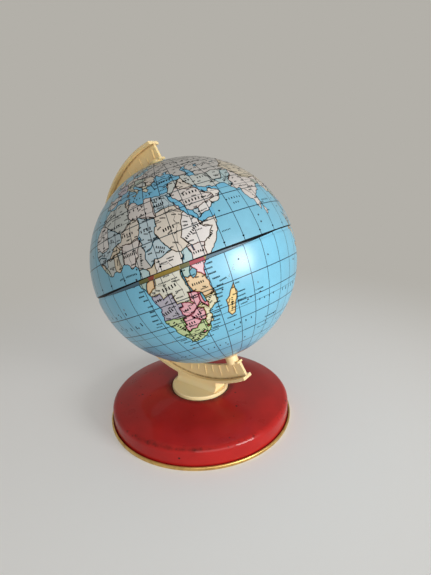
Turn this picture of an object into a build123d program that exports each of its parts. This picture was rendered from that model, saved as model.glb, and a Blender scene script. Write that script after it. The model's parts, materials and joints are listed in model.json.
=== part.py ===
"""Desktop globe: a tinplate ball on a tilted axle, held by a moulded arm that stands on a drawn pan.

Origin at the middle of the base on the table, +Z up. The arm lies in the XZ plane and the north
pole leans towards -X. Lengths are millimetres, angles are degrees.
"""
import math
import os

from build123d import *

# Globe
globe_diameter = 152.0
globe_sheet = 0.5
axis_tilt = 23.5
seam_height = 2.8  # neck left showing below the north half's edge
seam_lap = 6.0  # neck hidden inside the north half
seam_clearance = 0.05
pole_hole_clearance = 0.05

# Axle, eyelets and thrust washers
axle_diameter = 3.2
axle_running_clearance = 0.05
axle_socket_clearance = 0.02
end_chamfer = 0.4  # on the ends of the rod and the screw
eyelet_barrel_diameter = 6.0
eyelet_flange_diameter = 9.0
eyelet_flange_thickness = 0.5
eyelet_crimp_diameter = 7.6
eyelet_crimp_thickness = 0.4
eyelet_crimp_clearance = 0.05
thrust_washer_diameter = 8.0
thrust_washer_thickness = 0.6
thrust_clearance = 0.06

# Meridian arm
arm_set_back = 3.5  # arm's middle behind the globe's
arm_drop = 3.5  # and below it
arm_gap = 5.4  # globe surface to the web's inner edge, were the two middles one
web_depth = 12.1
web_thickness = 2.4
flange_width = 10.4
flange_thickness = 2.4
north_overshoot = 4.4  # angle that the arm runs past the axle
south_overshoot = 4.6
north_slant = 2.8  # angle that the flange stops short of the seat at the north end
north_step = 0.4  # and the web
arm_edge_radius = 0.5
seat_width = 6.4  # plate along the web's inner edge that carries the boss
boss_diameter = 9.6
boss_chamfer = 0.5
boss_taper = 45.0  # angle of that chamfer
boss_floor = 0.9  # plastic of the seat left past the end of the socket
socket_reach = 0.5  # socket end past the web's inner edge
rib_pitch = 5.0
rib_width = 0.7
rib_height = 0.4
long_rib_length = 8.4
short_rib_length = 5.4
rib_inset = 0.6

# Foot and pedestal
foot_diameter = 46.2
foot_edge_height = 3.0
foot_edge_radius = 0.8
foot_lift = 0.1  # running gap under the foot
pedestal_length = 39.0
pedestal_height = 4.3  # foot's top to the lowest point of the arm
pedestal_flare = 4.2  # radius where its long sides sweep out to the foot
flare_sink = 0.2  # sunk into the foot, so that the flare meets it at an edge
spigot_diameter = 12.0
spigot_running_clearance = 0.08
spigot_end_gap = 0.15

# Base pan
pan_sheet = 0.5
pan_top_height = 22.3  # at the edge of the foot's recess
recess_depth = 0.8
recess_clearance = 0.8
recess_ramp = 0.9
dome_fall = 2.1  # from the recess out to the crease
crease_radius = 60.0
shoulder_run = 16.3  # from the crease out to the skirt
shoulder_fall = 4.4
shoulder_radius = 4.6
skirt_diameter = 144.6
hem_gap = 1.6  # between the skirt and the turned-up hem
hem_height = 3.0
hem_lip = 0.2
sheet_bend = 0.4  # inside radius of the sheet's tight bends

# Foot fixing
foot_washer_diameter = 24.0
foot_washer_thickness = 1.0
screw_diameter = 3.5
screw_length = 9.0
screw_clearance = 0.2
screw_pilot_clearance = 0.02
screw_head_diameter = 7.2
screw_head_height = 2.2
screw_slot_width = 1.1
screw_slot_depth = 1.1

# Levels of the pan and the foot
recess_floor = pan_top_height - recess_depth
pan_hole_radius = spigot_diameter / 2 + spigot_running_clearance
recess_radius = foot_diameter / 2 + recess_clearance
foot_bottom = recess_floor + foot_lift
foot_top = foot_bottom + foot_edge_height
spigot_end = recess_floor - pan_sheet - spigot_end_gap
skirt_radius = skirt_diameter / 2
rim_radius = skirt_radius + hem_gap + pan_sheet
hem_bend = pan_sheet + hem_gap / 4
crease_height = pan_top_height - dome_fall
shoulder_height = crease_height - shoulder_fall

# Radii of the arm about its middle, and the heights of the two middles
globe_radius = globe_diameter / 2
web_inner = globe_radius + arm_gap
flange_inner = web_inner + web_depth
flange_outer = flange_inner + flange_thickness
arm_height = foot_top + pedestal_height + flange_outer
globe_height = arm_height + arm_drop

# Distances along the axle from the globe's middle
eyelet_seat = globe_radius
eyelet_top = eyelet_seat + eyelet_flange_thickness
washer_seat = eyelet_top + thrust_clearance
boss_face = washer_seat + thrust_washer_thickness + thrust_clearance
boss_shoulder = boss_face + boss_chamfer
seat_thickness = socket_reach + boss_floor


def height_on(radius, out):
    """Height on a circle of the given radius at a distance out from its middle."""
    return math.sqrt(radius**2 - out**2)


tilt = math.radians(axis_tilt)
north = Vector(-math.sin(tilt), 0, math.cos(tilt))
across = Vector(math.cos(tilt), 0, math.sin(tilt))
globe_middle = Vector(0, 0, globe_height)
axle_axis = Axis(globe_middle, north)

# The arm about its own middle: the angle its ring gains at each pole, and where the axle's sockets end
arm_middle = Vector(-arm_set_back, 0, arm_height)
arm_axis = Axis(arm_middle, (0, -1, 0))
arm_along = (arm_middle - globe_middle).dot(north)
arm_across = (arm_middle - globe_middle).dot(across)
pole_swing = math.degrees(math.asin(-arm_across / web_inner))
socket_ends = {
    "north": height_on(web_inner, arm_across) + arm_along + socket_reach,
    "south": height_on(web_inner, arm_across) - arm_along + socket_reach,
}
north_angle = 90 + axis_tilt - pole_swing
south_angle = 270 + axis_tilt + pole_swing
arm_start = north_angle - north_overshoot
arm_span = south_angle + south_overshoot - arm_start
seat_lead = math.degrees(math.asin(boss_diameter / 2 / web_inner))

# Drawing planes: one across the arm, one along the axle, one square to each pole
arm_plane = Plane(arm_middle, x_dir=(1, 0, 0), z_dir=(0, -1, 0))
axle_section = Plane(globe_middle, x_dir=across, z_dir=(0, -1, 0))
pole_planes = {
    "north": Plane(globe_middle, x_dir=across, z_dir=north),
    "south": Plane(globe_middle, x_dir=across, z_dir=-north),
}


def point_at(radius, angle):
    """Point on the arm's drawing plane at a radius and an angle about the arm's middle."""
    return Vector(radius * math.cos(math.radians(angle)), radius * math.sin(math.radians(angle)))


def section_at(angle):
    """Plane across the arm at an angle about the arm's middle, with its x axis outwards."""
    outwards = Vector(math.cos(math.radians(angle)), 0, math.sin(math.radians(angle)))
    return Plane(arm_middle, x_dir=outwards, z_dir=Vector(0, -1, 0).cross(outwards))


os.makedirs("parts", exist_ok=True)

# Base pan: the underside of one sheet, drawn down from the foot's recess, then turned out and up in a hem
with BuildPart() as base_pan:
    with BuildSketch(Plane.XZ):
        with BuildLine():
            FilletPolyline(
                (pan_hole_radius, recess_floor - pan_sheet),
                (recess_radius, recess_floor - pan_sheet),
                (recess_radius + recess_ramp, pan_top_height - pan_sheet),
                (skirt_radius - shoulder_run, crease_height - pan_sheet),
                (skirt_radius - pan_sheet, shoulder_height - pan_sheet),
                (skirt_radius - pan_sheet, 0),
                (rim_radius, 0),
                (rim_radius, hem_height),
                (rim_radius - hem_bend - hem_lip, hem_height),
                radius=[
                    pan_sheet + sheet_bend,
                    sheet_bend,
                    crease_radius,
                    shoulder_radius,
                    hem_bend,
                    hem_bend,
                    hem_bend,
                ],
            )
            offset(amount=pan_sheet, side=Side.LEFT)
        make_face()
    revolve(axis=Axis.Z)
base_pan.part.label = "base_pan"
export_step(base_pan.part, "parts/base_pan.step")

# Meridian arm, one moulding: foot and pedestal, the T-section ring, then its ribs, seats and bosses
pedestal_end = pedestal_length / 2
pedestal_side = flange_width / 2
pedestal_crown = arm_height - height_on(flange_outer - flange_thickness / 2, pedestal_end + arm_set_back)
flare_bottom = foot_top - flare_sink
flare_top = flare_bottom + pedestal_flare
flare_toe = pedestal_side + pedestal_flare
slant_inner = point_at(web_inner, arm_start + north_step)
slant_outer = point_at(flange_outer, arm_start + north_slant)
slant_run = slant_outer - slant_inner
slant_clear = Vector(slant_run.Y, -slant_run.X)
with BuildPart() as meridian_arm:
    with BuildSketch(Plane.XY.offset(foot_bottom)):
        Circle(foot_diameter / 2)
    extrude(amount=foot_edge_height)
    fillet(edges().sort_by(Axis.Z)[-1], foot_edge_radius)
    with BuildSketch(Plane.YZ.offset(-pedestal_end)):
        with BuildLine():
            Line((-pedestal_side, flare_top), (-pedestal_side, pedestal_crown))
            Line((-pedestal_side, pedestal_crown), (pedestal_side, pedestal_crown))
            Line((pedestal_side, pedestal_crown), (pedestal_side, flare_top))
            CenterArc((flare_toe, flare_top), pedestal_flare, 180, 90)
            Line((flare_toe, flare_bottom), (-flare_toe, flare_bottom))
            CenterArc((-flare_toe, flare_top), pedestal_flare, 270, 90)
        make_face()
    extrude(amount=pedestal_length)
    with BuildSketch(arm_plane):
        Circle(flange_outer - flange_thickness / 2)
    extrude(amount=flange_width, both=True, mode=Mode.SUBTRACT)
    with BuildSketch(Plane.XY.offset(spigot_end)):
        Circle(spigot_diameter / 2)
    extrude(amount=foot_bottom - spigot_end)
    with BuildSketch(section_at(arm_start)) as section:
        with Locations((flange_inner, 0)):
            Rectangle(flange_thickness, flange_width, align=(Align.MIN, Align.CENTER))
            Rectangle(web_depth, web_thickness, align=(Align.MAX, Align.CENTER))
        corners = section.vertices().group_by(Axis.X)
        fillet(corners[0] + corners[-1], arm_edge_radius)
    revolve(axis=arm_axis, revolution_arc=arm_span)
    with BuildSketch(arm_plane):
        with BuildLine():
            cut_low = slant_inner - slant_run
            cut_high = slant_outer + slant_run
            Polyline(cut_low, cut_high, cut_high + slant_clear, cut_low + slant_clear, close=True)
        make_face()
    extrude(amount=flange_width, both=True, mode=Mode.SUBTRACT)
    for first, arc in (
        (arm_start, north_overshoot + seat_lead),
        (south_angle - seat_lead, seat_lead + south_overshoot),
    ):
        with BuildSketch(section_at(first)):
            with Locations((web_inner, 0)):
                Rectangle(seat_thickness, seat_width, align=(Align.MIN, Align.CENTER))
        revolve(axis=arm_axis, revolution_arc=arc)
    rib_range = south_angle - north_angle
    rib_pairs = round(rib_range / (2 * rib_pitch))
    half_step = rib_range / (2 * rib_pairs)
    with BuildSketch(arm_plane):
        for length, count, lead in (
            (long_rib_length, rib_pairs + 1, 0),
            (short_rib_length, rib_pairs, half_step),
        ):
            middle = web_inner + rib_inset + length / 2
            with PolarLocations(middle, count, north_angle + lead, rib_range - 2 * lead, endpoint=True):
                Rectangle(length, rib_width)
    extrude(amount=web_thickness / 2 + rib_height, both=True)
    for name, pole in pole_planes.items():
        socket_end = socket_ends[name]
        for reach, taper in ((socket_end - boss_shoulder, 0), (boss_face - boss_shoulder, boss_taper)):
            with BuildSketch(pole.offset(boss_shoulder)):
                Circle(boss_diameter / 2)
            extrude(amount=reach, taper=taper)
        with BuildSketch(pole.offset(boss_face)):
            Circle(axle_diameter / 2 + axle_socket_clearance)
        extrude(amount=socket_end - boss_face, mode=Mode.SUBTRACT)
    with BuildSketch(Plane.XY.offset(spigot_end)):
        Circle(screw_diameter / 2 + screw_pilot_clearance)
    extrude(amount=screw_length, mode=Mode.SUBTRACT)
meridian_arm.part.label = "meridian_arm"
export_step(meridian_arm.part, "parts/meridian_arm.step")

# Foot washer and screw, under the pan
with BuildPart() as foot_washer:
    with BuildSketch(Plane.XY.offset(spigot_end)):
        Circle(foot_washer_diameter / 2)
        Circle(screw_diameter / 2 + screw_clearance, mode=Mode.SUBTRACT)
    extrude(amount=-foot_washer_thickness)
foot_washer.part.label = "foot_washer"
export_step(foot_washer.part, "parts/foot_washer.step")

screw_seat = spigot_end - foot_washer_thickness
with BuildPart() as foot_screw:
    with BuildSketch(Plane.XY.offset(screw_seat)):
        Circle(screw_head_diameter / 2)
    extrude(amount=-screw_head_height)
    fillet(edges().sort_by(Axis.Z)[0], screw_head_height / 2)
    with BuildSketch(Plane.XY.offset(screw_seat - screw_head_height)):
        Rectangle(screw_head_diameter, screw_slot_width)
    extrude(amount=screw_slot_depth, mode=Mode.SUBTRACT)
    with BuildSketch(Plane.XY.offset(screw_seat)):
        Circle(screw_diameter / 2)
    extrude(amount=screw_length)
    chamfer(edges().sort_by(Axis.Z)[-1], end_chamfer)
foot_screw.part.label = "foot_screw"
export_step(foot_screw.part, "parts/foot_screw.step")

# Axle rod, from socket to socket
with BuildPart() as axle_rod:
    with BuildSketch(pole_planes["south"].offset(end_chamfer - socket_ends["north"])):
        Circle(axle_diameter / 2)
    extrude(amount=socket_ends["north"] + socket_ends["south"] - 2 * end_chamfer)
    chamfer(edges().filter_by(GeomType.CIRCLE), end_chamfer)
axle_rod.part.label = "axle_rod"
export_step(axle_rod.part, "parts/axle_rod.step")

# North half: a plain cap of sheet from the equator to the pole hole
pole_hole = eyelet_barrel_diameter / 2 + pole_hole_clearance
inside_radius = globe_radius - globe_sheet
with BuildPart() as north_half:
    with BuildSketch(axle_section):
        with BuildLine():
            outside_top = (pole_hole, height_on(globe_radius, pole_hole))
            inside_top = (pole_hole, height_on(inside_radius, pole_hole))
            outside = RadiusArc((globe_radius, 0), outside_top, -globe_radius)
            inside = RadiusArc((inside_radius, 0), inside_top, -inside_radius)
            Line(outside @ 0, inside @ 0)
            Line(outside @ 1, inside @ 1)
        make_face()
    revolve(axis=axle_axis)
north_half.part.label = "north_half"
export_step(north_half.part, "parts/north_half.step")

# South half: the cap stops short of the equator and steps in to a neck that slides inside the north half
neck_outside = inside_radius - seam_clearance
neck_inside = neck_outside - globe_sheet
step_under = seam_height + globe_sheet
with BuildPart() as south_half:
    with BuildSketch(axle_section):
        with BuildLine():
            outside = RadiusArc(
                (height_on(globe_radius, seam_height), -seam_height),
                (pole_hole, -height_on(globe_radius, pole_hole)),
                globe_radius,
            )
            inside = RadiusArc(
                (height_on(inside_radius, step_under), -step_under),
                (pole_hole, -height_on(inside_radius, pole_hole)),
                inside_radius,
            )
            neck_out = RadiusArc(
                (height_on(neck_outside, seam_height), -seam_height),
                (height_on(neck_outside, seam_lap), seam_lap),
                -neck_outside,
            )
            neck_in = RadiusArc(
                (height_on(neck_inside, step_under), -step_under),
                (height_on(neck_inside, seam_lap), seam_lap),
                -neck_inside,
            )
            Line(outside @ 1, inside @ 1)
            Line(outside @ 0, neck_out @ 0)
            Line(inside @ 0, neck_in @ 0)
            Line(neck_out @ 1, neck_in @ 1)
        make_face()
    revolve(axis=axle_axis)
south_half.part.label = "south_half"
export_step(south_half.part, "parts/south_half.step")

# Eyelet and thrust washer at each pole
barrel_radius = eyelet_barrel_diameter / 2
bore_radius = axle_diameter / 2 + axle_running_clearance
crimp_top = height_on(inside_radius, eyelet_crimp_diameter / 2) - eyelet_crimp_clearance
for name, pole in pole_planes.items():
    with BuildPart() as eyelet:
        with BuildSketch(pole.offset(eyelet_top)):
            Circle(eyelet_flange_diameter / 2)
        extrude(amount=-eyelet_flange_thickness)
        with BuildSketch(pole.offset(eyelet_seat)):
            Circle(barrel_radius)
        extrude(amount=crimp_top - eyelet_seat)
        with BuildSketch(pole.offset(crimp_top)):
            Circle(eyelet_crimp_diameter / 2)
        extrude(amount=-eyelet_crimp_thickness)
        with BuildSketch(pole.offset(eyelet_top)):
            Circle(bore_radius)
        extrude(amount=crimp_top - eyelet_crimp_thickness - eyelet_top, mode=Mode.SUBTRACT)
    eyelet.part.label = name + "_eyelet"
    export_step(eyelet.part, "parts/" + name + "_eyelet.step")

    with BuildPart() as washer:
        with BuildSketch(pole.offset(washer_seat)):
            Circle(thrust_washer_diameter / 2)
            Circle(bore_radius, mode=Mode.SUBTRACT)
        extrude(amount=thrust_washer_thickness)
    washer.part.label = name + "_washer"
    export_step(washer.part, "parts/" + name + "_washer.step")
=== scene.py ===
"""Looks of a desktop globe: a printed tin ball in a moulded ivory arm on a red lacquered pan.

The frame gives every piece its place. Outlines on the map are longitude and latitude pairs in
degrees, drawn one by one. Other lengths are millimetres until a mesh is made, in metres.
"""
import json
import math
import random

import bpy
import numpy as np
from bpy.props import FloatProperty, FloatVectorProperty, PointerProperty
from mathutils import Matrix, Vector, geometry


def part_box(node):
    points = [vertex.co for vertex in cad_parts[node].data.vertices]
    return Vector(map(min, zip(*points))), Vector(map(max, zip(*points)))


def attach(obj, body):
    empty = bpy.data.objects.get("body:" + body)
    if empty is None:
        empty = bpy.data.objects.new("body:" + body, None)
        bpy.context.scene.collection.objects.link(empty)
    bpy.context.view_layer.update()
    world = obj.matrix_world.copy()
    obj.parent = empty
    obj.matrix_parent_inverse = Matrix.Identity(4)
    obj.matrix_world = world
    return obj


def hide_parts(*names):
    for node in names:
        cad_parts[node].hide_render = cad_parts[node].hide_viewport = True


bl_info = {
    "name": "Desktop globe looks",
    "version": (1, 0, 0),
    "blender": (4, 5, 0),
    "location": "View3D > Sidebar > Globe",
    "description": "Dresses the packed desktop globe: printed halves, arm, pan, fittings and stage",
    "category": "Object",
}

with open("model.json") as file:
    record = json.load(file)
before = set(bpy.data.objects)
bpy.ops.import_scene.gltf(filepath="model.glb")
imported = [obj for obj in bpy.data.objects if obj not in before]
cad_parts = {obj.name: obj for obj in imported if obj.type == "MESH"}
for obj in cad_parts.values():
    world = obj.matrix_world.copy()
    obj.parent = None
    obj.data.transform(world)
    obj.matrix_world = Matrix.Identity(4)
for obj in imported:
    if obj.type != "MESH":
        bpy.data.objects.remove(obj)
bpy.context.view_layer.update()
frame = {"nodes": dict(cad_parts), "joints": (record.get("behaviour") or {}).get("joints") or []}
MM = 0.001

# The ball's own axes, from the frame
SPIN = next(joint for joint in frame["joints"] if joint["name"] == "globe_spin")
BALL_MIDDLE = Vector(SPIN["pos_m"])
NORTH = Vector(SPIN["axis"]).normalized()
ACROSS = Vector((0, 1, 0)).cross(NORTH).normalized()
BESIDE = NORTH.cross(ACROSS)
BALL_RADIUS = (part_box("north_half")[1].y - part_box("north_half")[0].y) / 2 / MM
DEGREES_PER_MM = math.degrees(1 / BALL_RADIUS)


def linear(code):
    """An sRGB hex colour as linear red, green and blue."""
    parts = [int(code[i:i + 2], 16) / 255 for i in (1, 3, 5)]
    return tuple(c / 12.92 if c <= 0.04045 else ((c + 0.055) / 1.055) ** 2.4 for c in parts)


# Printing inks: fill and border tint on the north half, the same on the south half, and the colour of
# the neck at the seam, a deeper tint darkened as painted shade of the recessed neck. The north half
# faces the light and has faded to paler, greyer tints; its sea is also a little darker, painted shade
# for the weaker light from above.
INKS = {
    "pearl": ("#dcd7d3", "#a89e95", "#d8d2c6", "#8d8580", "#8f8678"),
    "rose": ("#d2cac4", "#b29690", "#dba6ae", "#ab4256", "#a01c34"),
    "blush": ("#d2cac6", "#b07c78", "#dcb9be", "#b03a4c", "#a51c36"),
    "buff": ("#d3c9bb", "#a08c74", "#e8cc8c", "#b0803c", "#a07a3c"),
    "slate": ("#b1c2c8", "#4a8aa0", "#a8b8c4", "#2f7288", "#4f7482"),
    "grey": ("#c0c4be", "#7d8480", "#b0b0aa", "#5d6664", "#6f7672"),
    "cream": ("#d8d2ca", "#a3957e", "#d2d0c1", "#b3a67e", "#8f7824"),
    "orange": ("#cfc2aa", "#a2845c", "#ddc096", "#b98448", "#84301a"),
    "lilac": ("#bab2bc", "#80768a", "#aaa6b0", "#6d6280", "#6d6280"),
    "mist": ("#acc3c5", "#5f95a2", "#a9c0b6", "#3f7f8a", "#625f26"),
    "sage": ("#b7c3b4", "#7c9078", "#bac894", "#6a963f", "#6a963f"),
    "straw": ("#d4ceb5", "#a0946c", "#ddd6b6", "#a8964c", "#a8964c"),
    "sand": ("#c0bcb6", "#867c72", "#bcae9c", "#6f5f52", "#6f5f52"),
    "sea": ("#76b6ce", "#4f8aa8", "#77c0dc", "#4f8aa8", "#3f6274"),
    "gulf": ("#68b0d0", "#2f7288", "#68b0d0", "#2f7288", "#3f6274"),
    "lake": ("#68b0d0", "#2f7288", "#5a9fb4", "#2f7288", "#3f6274"),
}

# Overprints darken whatever ink lies under them
LINE_INK = linear("#3c4c56")
COAST_INK = linear("#2e3c46")
BORDER_INK = linear("#302c2c")
RIVER_INK = linear("#6a6866")
NAME_INK = linear("#1e1e20")

# Painted shade: a near-black colour on the neck just under the rim of the north half and on the
# rim's cut edge, where the seam lies in shadow
PAINTED_SEAM_SHADE = linear("#14181b")

# Where the stretched print puts each latitude, in degrees from the seam
PRINT_LATITUDES = (-90, -40, -30, -20, -10, 0, 10, 20, 30, 90)
PRINT_PLACES = (-90, -44, -35, -25.7, -15.1, 0, 13.7, 23.8, 33.2, 90)

# Longitude that lies on the ACROSS axis, for each half: the two prints are a little out of line
NORTH_TWIST = 84.4
SOUTH_TWIST = 86.2

# Width of the tinted band inside a border, in millimetres, for each half
NORTH_TINT = 0.36
SOUTH_TINT = 0.55

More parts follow.
